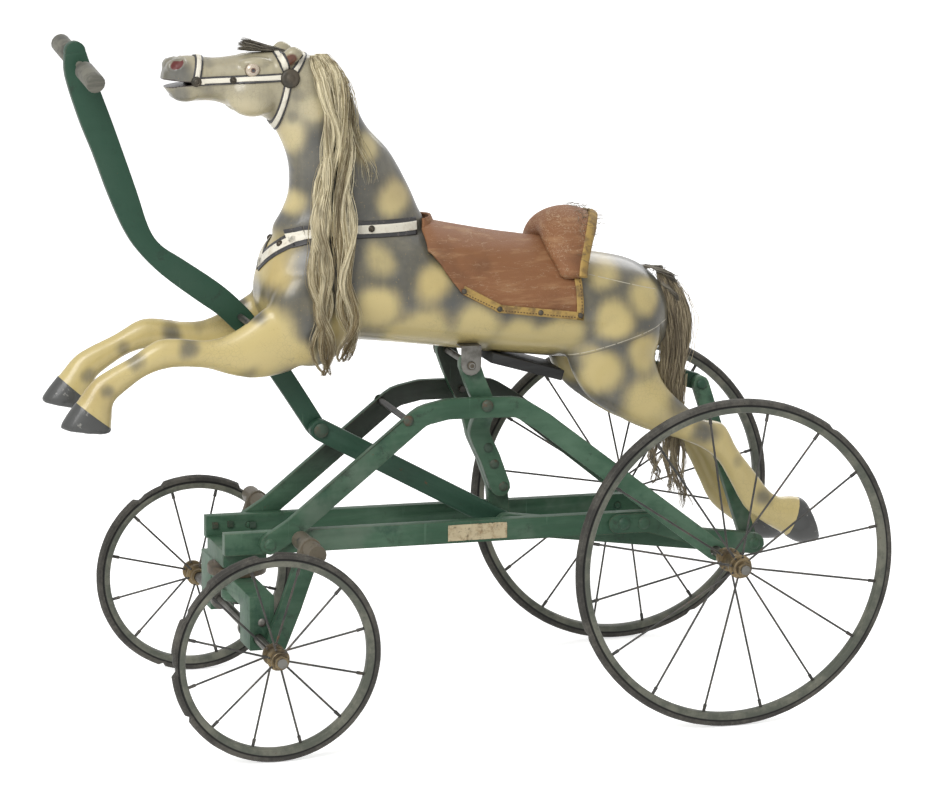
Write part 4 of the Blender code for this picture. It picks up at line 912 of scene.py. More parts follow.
def makeWheel(end, sideName, side):
    w, form = wheels, wheels[end]
    low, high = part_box(f"{end}_tyre_{sideName}")
    radius, half = form["radius"], w["tyreHalf"]
    centre = Vector(((low.x + high.x) / 2, (low.y + high.y) / 2, radius))
    body = f"{end}_{sideName}_wheel"
    title = end + sideName.capitalize()
    lip = radius - w["tyreDepth"]

    bm = bmesh.new()
    seat, foot = lip - w["seat"] + w["overlap"], w["rimHalf"] - w["rimWall"] - w["overlap"]
    profile = [(seat, -foot), (lip + w["overlap"], -foot), (lip + 0.003, -half), (radius - 0.0022, -half * 0.92)]
    profile += [(radius - 0.0006, -half * 0.55)]
    ring = bm.verts.layers.float.new("ring")
    for vert in spun(bm, mirrored(profile, (radius, 0)), centre, form["steps"]):
        arm = vert.co - centre
        reach = math.hypot(arm.x, arm.z)
        angle = math.degrees(math.atan2(arm.z, arm.x))
        share = (reach - lip) / (radius - lip)
        vert[ring] = share
        if share <= 0.1:
            continue
        breaks = tyreBreaks[f"{end}_{sideName}"]
        drop = max([depth for place, width, depth in breaks if abs((angle - place + 180) % 360 - 180) < width] + [0])
        rough = (noise.noise(vert.co * 90) - 1) * w["roughness"]
        scale = (reach - drop * share + rough * share) / reach
        vert.co.x, vert.co.z = centre.x + arm.x * scale, centre.z + arm.z * scale
    keep(bm, title + "Tyre", body, "grey_rubber", "rubber", [f"{end}_tyre_{sideName}"])

    bm = bmesh.new()
    inner, outer, well = lip - w["rimDepth"], w["rimHalf"], w["rimHalf"] - w["rimWall"]
    profile = [(inner, -outer * 0.62), (inner + 0.0014, -outer * 0.88), (lip - 0.0008, -outer)]
    profile += [(lip, -outer + 0.0004), (lip, -well), (lip - w["seat"], -well)]
    ring = bm.verts.layers.float.new("ring")
    spun(bm, mirrored(profile), centre, form["steps"])
    for vert in bm.verts:
        vert[ring] = (lip - math.hypot(vert.co.x - centre.x, vert.co.z - centre.z)) / w["rimDepth"]
    keep(bm, title + "Rim", body, "rim_paint", "rim", [f"{end}_wheel_{sideName}"])

    bm = bmesh.new()
    count, root = form["spokes"], (form["barrel"] + form["flange"]) / 2
    random.seed(3 + side + count)
    for index in range(count):
        angle = math.tau * (index + 0.5) / count
        lean = random.uniform(-w["lean"], w["lean"])
        outward = Vector((math.cos(angle + lean), 0, math.sin(angle + lean)))
        inward = Vector((math.cos(angle), 0, math.sin(angle)))
        start = centre + inward * root + yAxis * form["flanges"][index % 2] * side
        tip = centre + outward * (inner + 0.0018)
        bar(bm, start, tip, w["spoke"], 10)
        bar(bm, tip - (tip - start).normalized() * w["nipple"], tip, w["spoke"] * 1.7, 10, 0.8)
        ball(bm, start, (w["spoke"] * 1.9,) * 3, (10, 6))
    keep(bm, title + "Spokes", body, "black_steel", "black")

    bm = bmesh.new()
    bore, edge, barrel, flange = w["bore"], w["hubEdge"], form["barrel"], form["flange"]
    inside, outside = form["hubIn"], form["hubOut"]
    profile = [(bore, inside), (flange * 0.72, inside), (flange * 0.75, inside + 0.001)]
    profile += [(flange * 0.75, inside + 0.005), (barrel, inside + 0.007)]
    for along in form["flanges"]:
        rise = [(barrel, -edge * 1.4), (flange - 0.0005, -edge), (flange, -edge * 0.6)]
        profile += [(distance, along + offset) for distance, offset in mirrored(rise)]
    profile += [(barrel, outside - 0.008), (flange * 0.8, outside - 0.006), (flange * 0.8, outside - 0.0006)]
    spun(bm, profile + [(flange * 0.75, outside), (bore, outside)], centre, 40, yAxis * side)
    keep(bm, title + "Hub", body, "brass", "brass")

    low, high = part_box(f"{end}_wheel_nut_{sideName}")
    near, far = [Vector((centre.x, y, centre.z)) for y in ((high.y, low.y) if side < 0 else (low.y, high.y))]
    washer, hexagon = bmesh.new(), bmesh.new()
    spun(washer, w["washer"], near, 24, yAxis * side)
    bar(hexagon, near + yAxis * (side * 0.0013), far, w["nut"] * 0.94, 6)
    easedEdges(hexagon, 0.0008)
    parent = "front_truck" if end == "front" else "frame"
    keep(joined([washer, hexagon]), title + "Nut", parent, "brass", "brass", [f"{end}_wheel_nut_{sideName}"])


for end in ("rear", "front"):
    for sideName, side in signs.items():
        makeWheel(end, sideName, side)
print("wheels made")


horse = {  # body, head, legs and ears in millimetres, each row as loft reads it
    "voxel": 0.00268,
    "body": [
        (-541, 508, -540, 545, 20, 0), (-530, 488, -522, 585, 44, 0), (-500, 472, -480, 612, 61, 0),
        (-450, 464, -425, 612, 71, 0), (-395, 458, -360, 600, 76, 0), (-332, 450, -305, 588, 77, 0),
        (-266, 440, -240, 575, 77, 0), (-195, 431, -180, 566, 76, 0), (-135, 424, -120, 556, 74, 0),
        (-90, 421, -75, 547, 68, 0), (-55, 422, -48, 534, 57, 0), (-32, 430, -29, 514, 40, 0),
        (-21, 448, -20, 494, 18, 0),
    ],
    "head": [
        (-490, 556, -352, 560, 40, 0), (-512, 578, -330, 595, 45, 0), (-521, 598, -340, 621, 47, 0),
        (-509, 620, -353, 650, 44, 0), (-500, 645, -376, 690, 40, 0), (-501, 682, -405, 722, 36, 0),
        (-515, 717, -424, 760, 34, 0), (-531, 735, -447, 792, 33, 0), (-550, 738, -483, 811, 32, 0),
        (-570, 748, -520, 814, 31, 0), (-592, 756, -556, 811, 26, 0), (-614, 757, -590, 808, 22, 0),
        (-633, 757, -615, 811, 21, 0), (-647, 768, -636, 810, 19, 0), (-656, 781, -652, 797, 10, 0),
    ],
    "foreleg": [
        (-478, 452, -500, 530, 24, 40), (-510, 433, -540, 512, 20, 43), (-552, 427, -568, 492, 17, 45),
        (-585, 433, -596, 479, 15, 45), (-612, 442, -620, 477, 14, 45), (-640, 445, -642, 480, 14, 45),
        (-664, 444, -672, 480, 14, 45), (-688, 436, -704, 461, 12, 45), (-711, 420, -732, 447, 12, 45),
        (-724, 409, -752, 434, 13, 45), (-727, 402, -769, 412, 16, 45), (-728, 386, -782, 395, 18, 45),
        (-729, 370, -792, 379, 20, 45),
    ],
    "hindLeg": [
        (-155, 470, -60, 480, 24, 46), (-160, 431, -48, 433, 26, 44), (-139, 388, -38, 402, 23, 44),
        (-108, 363, -24, 382, 19, 45), (-66, 340, -2, 362, 16, 45), (-22, 325, 18, 346, 14, 45),
        (14, 310, 45, 339, 14, 45), (38, 292, 64, 306, 13, 45), (56, 262, 86, 278, 12, 45),
        (76, 228, 108, 250, 12, 45), (100, 209, 122, 241, 14, 45), (126, 193, 139, 241, 17, 45),
        (148, 180, 151, 237, 20, 45), (176, 181, 155, 235, 21, 45),
    ],
    "lifts": {"foreleg": ((-0.500, 0.480), 3.0), "hindLeg": ((-0.095, 0.445), 3.5)},  # of the far legs, in degrees
    "balls": [  # centre, half sizes and divisions of shoulder, haunch, cheek, brow, nostril and lip
        ((-0.484, 0.500, 0.046), (0.052, 0.027, 0.062), (28, 18)),
        ((-0.100, 0.462, 0.045), (0.060, 0.028, 0.062), (28, 18)),
        ((-0.548, 0.764, 0.019), (0.032, 0.018, 0.026), (24, 16)),
        ((-0.545, 0.803, 0.021), (0.020, 0.010, 0.007), (20, 12)),
        ((-0.637, 0.7985, 0.010), (0.0150, 0.012, 0.0110), (20, 12)),
        ((-0.627, 0.766, 0.008), (0.018, 0.012, 0.009), (20, 12)),
    ],
    "ear": [
        (-520, 797, -518, 806, 4, 25), (-513.5, 796, -511.5, 816, 9, 27), (-505, 798, -503, 822, 10, 29),
        (-497, 803, -494.5, 820, 7, 28), (-490, 809, -488.5, 814, 3, 26),
    ],
    "face": (-0.44, 0.735),  # in front of and above this, less is smoothed away
    "softened": (9, 2),  # how often behind the face, then everywhere
    "mouth": (-0.670, -0.606, 0.7798, 0.0125),  # where the slot opens and ends, its height and its gap
    "eye": (-0.551, 0.795, 0.0275),
    "eyeSize": (0.0095, 0.0057, 0.0086),
    "nostril": (-0.6395, 0.8035, 0.0098, 0.0056, -33),  # centre, half sizes and turn
    "earHole": (-0.5055, 0.8060, 0.0100, 0.0095, 0),
    "earInside": 0.024,
    "hoofs": {  # where the hair ends on the near side's hoofs
        "foreleg": ((-0.774, 0.412), (-0.727, 0.374)), "hindLeg": ((0.129, 0.186), (0.147, 0.240)),
    },
}

# Cream dapples on the grey ground, and grey shadows over the cream: x, z and radius in millimetres, and a strength.
dapples = [
    (-506, 712, 22, 1), (-477, 748, 17, 0.7), (-413, 699, 22, 0.9), (-378, 636, 24, 1), (-502, 635, 17, 0.9),
    (-530, 558, 28, 0.9), (-512, 585, 20, 0.5), (-403, 567, 21, 0.55), (-407, 508, 30, 1), (-341, 536, 25, 0.9),
    (-347, 478, 33, 1), (-375, 470, 22, 1), (-284, 482, 30, 1), (-230, 464, 30, 1), (-200, 452, 22, 0.8),
    (-173, 468, 27, 1), (-109, 481, 27, 1), (-64, 508, 22, 0.9), (-119, 542, 26, 0.7), (-123, 415, 28, 1),
    (-66, 440, 25, 1), (-60, 380, 34, 1), (-451, 484, 30, 0.8), (-545, 470, 42, 1), (-505, 455, 24, 0.9),
    (-310, 455, 20, 0.8), (-140, 440, 16, 0.5), (-30, 400, 20, 0.8), (-560, 742, 26, 0.8), (-440, 735, 14, 0.5),
]
patches = [
    (-636, 470, 20, 0.75), (-700, 458, 16, 0.6), (-737, 424, 13, 0.6), (-565, 436, 18, 0.5), (-600, 480, 14, 0.35),
    (18, 332, 26, 0.8), (96, 246, 20, 0.7), (62, 290, 12, 0.4), (-40, 350, 14, 0.35), (-640, 793, 36, 0.92),
    (-640, 765, 24, 0.8), (-600, 806, 16, 0.6), (-605, 770, 20, 0.6), (-497, 765, 18, 0.6), (-503, 738, 16, 0.6),
    (-503, 671, 15, 1), (-575, 745, 12, 0.5), (-545, 770, 14, 0.3), (-549, 505, 16, 0.8), (-500, 590, 14, 0.5),
]


def ramp(value, low, high):
    share = min(max((value - low) / (high - low), 0.0), 1.0)
    return share * share * (3 - 2 * share)


noise.seed_set(5)  # keeps the dapples' outlines the same each time


def greyAt(point):
    warp = noise.noise_vector(point * 22) * 0.007
    x, z = point.x - axleX + warp.x, point.z + warp.z
    foreleg = ramp(x, -0.500, -0.555) * ramp(z, 0.535, 0.500)
    hindLeg = ramp(z, 0.375, 0.325)
    head = ramp(z, 0.712, 0.742) * ramp(x, -0.450, -0.490)
    belly = ramp(z, 0.492, 0.448) * ramp(x, -0.47, -0.42) * ramp(x, -0.15, -0.20)
    grey = 0.86 + noise.noise(point * 30) * 0.16
    grey *= 1 - 0.45 * belly
    grey += (0.12 - grey) * max(foreleg, hindLeg)
    grey += (0.44 - grey) * head
    for px, pz, radius, strength in dapples:
        grey *= 1 - strength * ramp(math.hypot(x * 1000 - px, z * 1000 - pz) / radius, 1.38, 0.30)
    for px, pz, radius, strength in patches:
        grey = max(grey, strength * ramp(math.hypot(x * 1000 - px, z * 1000 - pz) / radius, 1.25, 0.15))
    return grey, head


def turned(x, z, centre, degrees):
    # A point of a side view after a turn.
    return Matrix.Rotation(math.radians(degrees), 2) @ (Vector((x, z)) - Vector(centre)) + Vector(centre)


def leg(name, side):
    pivot, lift = horse["lifts"][name]
    lift = lift if side > 0 else 0
    rows = []
    for x0, z0, x1, z1, half, y in metres(horse[name]):
        rows.append((*turned(x0, z0, pivot, -lift), *turned(x1, z1, pivot, -lift), half, y))
    return rows


def hoofDistance(x, z, y):
    # How far a point lies past the edge of the hair on its own leg.
    if -0.6 <= x <= 0.05:
        return -0.1
    name = "foreleg" if x < 0 else "hindLeg"
    pivot, lift = horse["lifts"][name]
    start, end = [Vector(spot) for spot in horse["hoofs"][name]]
    spot = turned(x, z, pivot, lift if y > 0 else 0)
    line = (end - start).normalized()
    return (spot - start).dot(Vector((line.y, -line.x)))


def withinOval(x, z, oval):
    # 1 in the middle of an oval, 0 on its edge and less beyond.
    spot = turned(x, z, oval[:2], oval[4]) - Vector(oval[:2])
    return 1 - math.hypot(spot.x / oval[2], spot.y / oval[3])


def mouthWedge():
    opens, ends, height, gap = horse["mouth"]
    bm = bmesh.new()
    corners = [at(opens, height - gap / 2, -0.05), at(opens, height + gap / 2, -0.05), at(ends, height, -0.05)]
    face = bm.faces.new([bm.verts.new(corner) for corner in corners])
    grown = bmesh.ops.extrude_face_region(bm, geom=[face])["geom"]
    bmesh.ops.translate(bm, verts=[item for item in grown if isinstance(item, bmesh.types.BMVert)], vec=(0, 0.1, 0))
    bmesh.ops.recalc_face_normals(bm, faces=bm.faces)
    return placed("mouth", meshOf(bm, "mouth"))


def makeHorse():
    bm = bmesh.new()
    loft(bm, metres(horse["body"]), 36, 5)
    loft(bm, metres(horse["head"]), 28, 5)
    for side in (-1, 1):
        loft(bm, leg("foreleg", side), 22, 4, side)
        loft(bm, leg("hindLeg", side), 22, 4, side)
        for (x, z, y), size, divisions in horse["balls"]:
            ball(bm, at(x, z, side * y), size, divisions)
        loft(bm, metres(horse["ear"]), 16, 3, side)
    bmesh.ops.recalc_face_normals(bm, faces=bm.faces)
    solid = evaluated(meshOf(bm, "carving"), ("REMESH", {"mode": "VOXEL", "voxel_size": horse["voxel"]}))

    bm = copyOf(solid)
    faceX, faceZ = at(*horse["face"]).xz
    behind, everywhere = horse["softened"]
    smoothed(bm, [vert for vert in bm.verts if not (vert.co.z > faceZ and vert.co.x < faceX)], behind)
    smoothed(bm, bm.verts, everywhere)
    mouth = mouthWedge()
    cut = {"operation": "DIFFERENCE", "solver": "EXACT", "object": mouth}
    solid = evaluated(meshOf(bm, "softened"), ("BOOLEAN", cut))
    bpy.data.objects.remove(mouth)

    bm = copyOf(solid)
    bmesh.ops.remove_doubles(bm, verts=bm.verts, dist=tiny)
    bm.normal_update()
    layers = {name: bm.verts.layers.float.new(name) for name in ("grey", "pale", "hoof", "nostril", "ear", "mouth")}
    opens, ends, mouthHeight, gap = horse["mouth"]
    for vert in bm.verts:
        x, y, z = vert.co.x - axleX, vert.co.y, vert.co.z
        grey, head = greyAt(vert.co)
        hoof = hoofDistance(x, z, y)
        outward = abs(vert.normal.y) > 0.25
        hole = withinOval(x, z, horse["nostril"]) if outward else -1.0
        cup = withinOval(x, z, horse["earHole"]) if outward and abs(y) > horse["earInside"] else -1.0
        slit = gap * (ends - x) / (ends - opens)
        inMouth = x < ends and abs(z - mouthHeight) < slit / 2 + 0.0007
        # The second value, pale, is painted light: it rises with height, and more on the head.
        values = (grey, ramp(z, 0.50, 0.80) * (0.5 + head * 0.3), hoof, hole, cup, float(inMouth))
        for layer, value in zip(layers.values(), values):
            vert[layer] = value
        push = 0.0008 if hoof > 0 else 0.0
        if hole > 0:
            push -= 0.0035 * min(hole * 2.2, 1)
        else:
            push += 0.0011 * max(1 - abs(hole + 0.12) / 0.23, 0)
        if cup > 0:
            push -= 0.0040 * min(cup * 1.8, 1)
        vert.co += vert.normal * push
    nodes = ["horse_body", "horse_head", "foreleg_left", "foreleg_right", "hind_leg_left", "hind_leg_right"]
    return keep(bm, "carvedHorse", "horse", "cream_coat", "coat", nodes, smooth=55, turnFaces=False)


figure = makeHorse()
figureTree = BVHTree.FromObject(figure, bpy.context.evaluated_depsgraph_get())
print("horse carved:", len(figure.data.polygons), "faces")


def onFlank(x, z, side):
    # The point of the horse's side at x and z, and the way that its skin faces there.
    point, normal, _, _ = figureTree.ray_cast(at(x, z, side * 0.3), yAxis * -side)
    if point is None:
        point, normal, _, _ = figureTree.find_nearest(at(x, z, side * 0.03))
    return point, normal


def makeEyes():
    x, z, y = horse["eye"]
    for sideName, side in signs.items():
        centre = at(x, z, y * side)
        bm = bmesh.new()
        ball(bm, centre, horse["eyeSize"], (36, 24))
        far = bm.verts.layers.float.new("far")
        for vert in bm.verts:
            vert[far] = math.hypot(vert.co.x - centre.x, vert.co.z - centre.z)
        keep(bm, "glassEye" + sideName.capitalize(), "horse", "dark_glass", "eye", [f"glass_eye_{sideName}"])


makeEyes()


harness = {
    "bridle": (0.0098, 0.0054),  # widths of the black edge and of the white strap on it
    "chestStrap": (0.0205, 0.0108),
    "lift": 0.0004,
    "walls": (0.0010, 0.0006),
    "straps": [  # noseband, cheek, throat, brow and poll
        ((-0.6045, 0.835), (-0.6178, 0.7815)), ((-0.613, 0.7825), (-0.512, 0.7855)), ((-0.508, 0.780), (-0.522, 0.716)),
        ((-0.5260, 0.840), (-0.508, 0.787)), ((-0.462, 0.838), (-0.503, 0.787)),
    ],
    "chest": [(-0.5085, 0.5915), (-0.489, 0.597), (-0.438, 0.602), (-0.349, 0.601)],
    "breast": ((-0.5050, 0.5980, 0.042), (-0.5410, 0.5580, -0.001)),
    "breastEnd": -0.50,
    "rosettes": [  # x, z, radius and height
        (-0.506, 0.784, 0.0117, 0.0050), (-0.574, 0.7835, 0.0042, 0.0040), (-0.6175, 0.7825, 0.0062, 0.0045),
    ],
    "studs": [(-0.5165, 0.5845, 0.0042, 0.0042), (-0.410, 0.6025, 0.0042, 0.0042)],
}


def stripOf(source, start, end, width, lift, low=-1.0, high=1.0, out=yAxis):
    # The skin of a mesh between two ends of a strap, as a sheet that stands off it.
    bm = copyOf(source)
    start, end = at(*start), at(*end)
    along = (end - start).normalized()
    side = along.cross(out).normalized()
    for point, outward in (
        (start + side * width * high / 2, side), (start + side * width * low / 2, -side), (start, -along), (end, along),
    ):
        cutBeyond(bm, point, outward)
    bm.normal_update()
    shifts = [vert.normal * lift for vert in bm.verts]
    across, length = bm.verts.layers.float.new("across"), bm.verts.layers.float.new("along")
    for vert, shift in zip(bm.verts, shifts):
        vert.co += shift
        vert[across] = (vert.co - start).dot(side) / (width / 2)
        vert[length] = (vert.co - start).dot(along)
    return bm


def thick(bm, name, wall, *rest, **options):
    piece = keep(bm, name, *rest, turnFaces=False, **options)
    step = piece.modifiers.new("thickness", "SOLIDIFY")
    step.thickness = wall
    step.offset = 1
    return piece


def breastStrip(width, lift, side):
    # The strap's last part, which runs down to the middle of the breast.
    start, end = [(x, z, y * side) for x, z, y in harness["breast"]]
    bm = stripOf(figure.data, start, end, width, lift, out=Vector((-1, side * 0.35, 0)) * -side)
    for vert in [vert for vert in bm.verts if vert.co.x > harness["breastEnd"] + axleX]:
        bm.verts.remove(vert)
    return bm


def rosette(x, z, radius, height, side):
    point, normal = onFlank(x, z, side)
    out = Vector((0, side, 0)).lerp(normal, 0.5).normalized()
    profile = [(0, height + 0.0012), (radius * 0.25, height + 0.0011), (radius * 0.42, height)]
    profile += [(radius * 0.55, height - 0.0004), (radius * 0.68, height), (radius * 0.9, height - 0.0008)]
    profile += [(radius, height * 0.5), (radius, 0.0008), (0, 0.0008)]
    bm = bmesh.new()
    spun(bm, profile, Vector(), 32)
    turn = out.to_track_quat("Y", "Z").to_matrix().to_4x4()
    bmesh.ops.transform(bm, matrix=Matrix.Translation(point) @ turn, verts=bm.verts)
    return bm


def makeStraps():
    lift, (edgeWall, wall) = harness["lift"], harness["walls"]
    chest = list(zip(harness["chest"], harness["chest"][1:]))
    for name, straps, node in (("bridle", harness["straps"], "bridle"), ("chestStrap", chest, "chest_strap")):
        wide, narrow = harness[name]
        for layer, width, height, thickness, finish in (
            ("Edge", wide, lift, edgeWall, "strapEdge"), ("", narrow, lift + edgeWall, wall, "strap"),
        ):
            parts = [stripOf(figure.data, *ends, width, height) for ends in straps]
            if name == "chestStrap":
                parts += [breastStrip(width, height, side) for side in (-1, 1)]
            replaced = () if layer else [node]
            thick(joined(parts), name + layer, thickness, "horse", "white_strap", finish, replaced=replaced)
    for name, spots in (("bridleRosettes", harness["rosettes"]), ("chestStrapStuds", harness["studs"])):
        discs = [rosette(*spot, side) for side in (-1, 1) for spot in spots]
        keep(joined(discs), name, "horse", "black_steel", "bolt")


makeStraps()
print("straps laid")


saddle = {
    "front": [(-0.3440, 0.620), (-0.3435, 0.571), (-0.305, 0.523)],
    "bottom": [(-0.261, 0.500), (-0.151, 0.485)],
    "rear": -0.152,
    "top": 0.6075,
    "lowest": 0.484,
    "softened": 12,
    "wall": 0.0030,
    "lift": 0.0016,
    "stuffing": 0.0065,
    "tapes": [
        ((-0.3075, 0.5243), (-0.2600, 0.5000)), ((-0.2620, 0.5003), (-0.1515, 0.4850)),
        ((-0.1518, 0.4850), (-0.1518, 0.5620)),
    ],
    "tape": (0.0092, 0.0055, 0.0012),  # width, lift and wall
    "nails": [(-0.3045, 0.5265), (-0.2595, 0.5045), (-0.2075, 0.4975), (-0.1565, 0.4915), (-0.1565, 0.5395)],
    "nail": (0.0034, 0.0022, 0.0034),
    "nailLift": 0.0066,
}


def saddleSheet():
    # The horse's skin under the saddle, cut along lines that run with the leather on their left.
    bm = copyOf(figure.data)
    outline = saddle["front"] + saddle["bottom"]
    lines = list(zip(outline, outline[1:]))
    lines += [((saddle["rear"], 0.485), (saddle["rear"], 0.7)), ((-0.10, saddle["top"]), (-0.40, saddle["top"]))]
    for start, end in lines:
        cutBeyond(bm, at(*start), (at(*end) - at(*start)).normalized().cross(-yAxis))
    for vert in [vert for vert in bm.verts if vert.co.z < saddle["lowest"]]:
        bm.verts.remove(vert)
    smoothed(bm, [vert for vert in bm.verts if not vert.is_boundary], saddle["softened"])
    return bm


def saddleLift(x, z, y):
    # How far the leather stands off the horse: it is stuffed along the top, folded below and creased between.
    middle = min(max((x + 0.352) / 0.02, 0), 1) * min(max((-0.15 - x) / 0.02, 0), 1)
    folds = noise.noise(Vector((x * 16 + z * 30, y * 8, z * 95))) * 0.0009 * (z < 0.57)
    crease = math.exp(-(((z - 0.552 + (x + 0.25) * 0.22) / 0.0032) ** 2)) * 0.0012
    return saddle["lift"] + saddle["stuffing"] * ramp(z, 0.535, 0.570) * middle + folds - crease


def makeSaddle():
    bm = saddleSheet()
    bm.normal_update()
    moves = [vert.normal * saddleLift(vert.co.x - axleX, vert.co.z, vert.co.y) for vert in bm.verts]
    for vert, move in zip(bm.verts, moves):
        vert.co += move
    seat = thick(bm, "saddleLeather", saddle["wall"], "horse", "red_leather", "leather", replaced=["saddle"])

    width, lift, wall = saddle["tape"]
    sheet = meshOf(saddleSheet(), "sheet")
    parts = [stripOf(sheet, start, end, width, lift, 0, 2) for start, end in saddle["tapes"]]
    thick(joined(parts), "saddleTape", wall, "horse", "red_leather", "tape")

    bm = bmesh.new()
    for side in (-1, 1):
        for x, z in saddle["nails"]:
            point, normal = onFlank(x, z, side)
            ball(bm, point + normal * saddle["nailLift"], saddle["nail"], (16, 10))
    keep(bm, "saddleNails", "horse", "brass", "bolt")


cantle = {
    "centre": 0.498,
    "wide": 0.076,
    "tall": 0.068,
    "angles": [-60, -55, -49, -40, -30, -15, 0, 15, 30, 40, 49, 55, 60],
    "threads": 150,
    "thread": 0.00028,
    "threadStep": 0.0030,
}


def cantleRing(degrees):
    # The middle of the roll at an angle from the top, the way out, half its length and half its depth.
    angle = math.radians(degrees)
    puff = 0.006 + 0.021 * math.cos(angle * 1.25) ** 2
    y = (cantle["wide"] + puff * 0.9) * math.sin(angle)
    z = cantle["centre"] + (cantle["tall"] + puff * 0.9) * math.cos(angle)
    length = 0.0055 + 0.0345 * math.cos(angle) ** 2.1
    middle = at(-0.149 - 0.032 * abs(math.sin(angle)) * math.cos(angle), z, y)
    return middle, Vector((0, math.sin(angle), math.cos(angle))), length, puff


def someWay(*reach):
    return Vector([random.uniform(-most, most) for most in reach])


def makeCantle():
    xAxis = Vector((1, 0, 0))
    bm = bmesh.new()
    rings = []
    for degrees in cantle["angles"]:
        middle, out, length, puff = cantleRing(degrees)
        lean = xAxis * (0.0024 if abs(degrees) < 50 else 0)
        rings.append(ringOf(bm, 20, ovalAt(middle + lean, xAxis * (length * 0.98), out * puff * 0.97)))
    skin(bm, rings)
    roll = keep(bm, "cantleRoll", "horse", "red_leather", "frayed", ["saddle_cantle"], smooth=0)
    step = roll.modifiers.new("rounding", "SUBSURF")
    step.levels = step.render_levels = 2

    bm = bmesh.new()
    rings = []
    for degrees in range(-60, 61, 6):
        middle, out, length, puff = cantleRing(degrees)
        rim = middle + xAxis * (length * 0.86) + out * puff * 0.50
        rings.append(ringOf(bm, 12, ovalAt(rim, xAxis * 0.0060 - out * 0.0036, out * 0.0026 + xAxis * 0.0014)))
    skin(bm, rings)
    for name in ("across", "along"):
        bm.verts.layers.float.new(name)
    keep(bm, "cantleTape", "horse", "red_leather", "tape", smooth=60)

    random.seed(41)
    curve = hairCurve("cantleFray", cantle["thread"])
    for _ in range(cantle["threads"]):
        middle, out, length, puff = cantleRing(max(-60, min(60, random.gauss(0, 20))))
        angle = random.uniform(0.2, 1.0) * 1.45
        point = middle + xAxis * (length * math.sin(angle)) + out * puff * math.cos(angle)
        heading = someWay(1, 1, 0.6)
        spline = curve.splines.new("POLY")
        spline.points.add(4)
        for target in spline.points:
            target.co = (*point, 1)
            heading = (heading + someWay(0.5, 0.5, 0.5)).normalized()
            heading -= out * heading.dot(out) * 0.85
            point = point + heading * cantle["threadStep"]
    keepMesh(evaluated(curve), "cantleThreads", "horse", "mane", smooth=0)


makeSaddle()
makeCantle()
print("saddle made")


lockDefaults = {
    "twist": 0.0, "gather": 0.42, "waves": 20, "curl": 0.002, "fan": 0.0, "startSpread": 3, "endSpread": 5,
}


def clumpsOf(count):
    # Where each clump lies in the lock, the phase and size of its waves, and its shade.
    clumps = []
    for index in range(count):
        angle = math.tau * index / count * 1.618 + random.uniform(-0.3, 0.3)
        reach = 0.15 + 0.65 * math.sqrt(random.random())
        waves = random.uniform(0, math.tau), random.uniform(0.6, 1.4), random.uniform(-0.2, 0.2)
        clumps.append((math.cos(angle) * reach, math.sin(angle) * reach, *waves))
    return clumps


def strands(name, finish, locks, seed, thickness, replaced, lowest, highest):
    # Each lock follows rows of x, z, y, half width and half depth. Its hairs hang together in wavy clumps.
    random.seed(seed)
    shadedTones = []
    curve = hairCurve(name, thickness)
    for lock in locks:
        lock = {**lockDefaults, **lock}
        rows = eased(metres(lock["rows"]), 3)
        clumps = clumpsOf(lock["clumps"])
        for index in range(lock["count"]):
            centreU, centreV, phase, waviness, shade = clumps[index % len(clumps)]
            angle, reach = random.uniform(0, math.tau), math.sqrt(random.random())
            loose = 1.0 if random.random() > 0.06 else 2.1
            u, v = math.cos(angle) * reach * loose, math.sin(angle) * reach * loose
            ownPhase, ownWave = random.uniform(0, math.tau), random.uniform(0.0003, 0.0011) * loose
            start = random.randint(0, lock["startSpread"])
            part = rows[start : len(rows) - int(random.random() ** 1.6 * lock["endSpread"])]
            if len(part) < 4:
                continue
            spline = curve.splines.new("POLY")
            spline.points.add(len(part) - 1)
            # Painted shade: hairs near the middle of a clump get a lower tone, so they come out darker.
            tone = 0.5 + shade + random.uniform(-0.35, 0.35) + 0.25 * (reach - 0.6)
            shadedTones += [tone] * len(part)
            for step, (target, (x, z, y, half, depth)) in enumerate(zip(spline.points, part)):
                along = (step + start) / len(rows)
                gather = lock["gather"] * (1.0 - 0.55 * along**3)
                turn = Matrix.Rotation(lock["twist"] * along, 2)
                across, inward = turn @ Vector((centreU + u * gather, centreV + v * gather))
                curl = math.sin(along * lock["waves"] + phase) * lock["curl"] * waviness * (0.25 + along)
                curl += math.sin(along * 34 + ownPhase) * ownWave
                spread = lock["fan"] * across * along
                target.co = (*at(x + across * half + curl, z + spread, y + inward * depth + curl * 0.4), 1)
                left = 1 - step / (len(part) - 1)
                target.radius = 0.25 + 0.75 * min(1.0, left * 3.0) ** 0.7
    mesh = evaluated(curve)
    around = len(mesh.vertices) // len(shadedTones)
    lows = [min(max((highest - vert.co.z) / (highest - lowest), 0), 1) for vert in mesh.vertices]
    for layer, values in (("low", lows), ("tone", [tone for tone in shadedTones for _ in range(around)])):
        mesh.attributes.new(layer, "FLOAT", "POINT").data.foreach_set("value", values)
    keepMesh(mesh, name, "horse", finish, replaced, smooth=0)


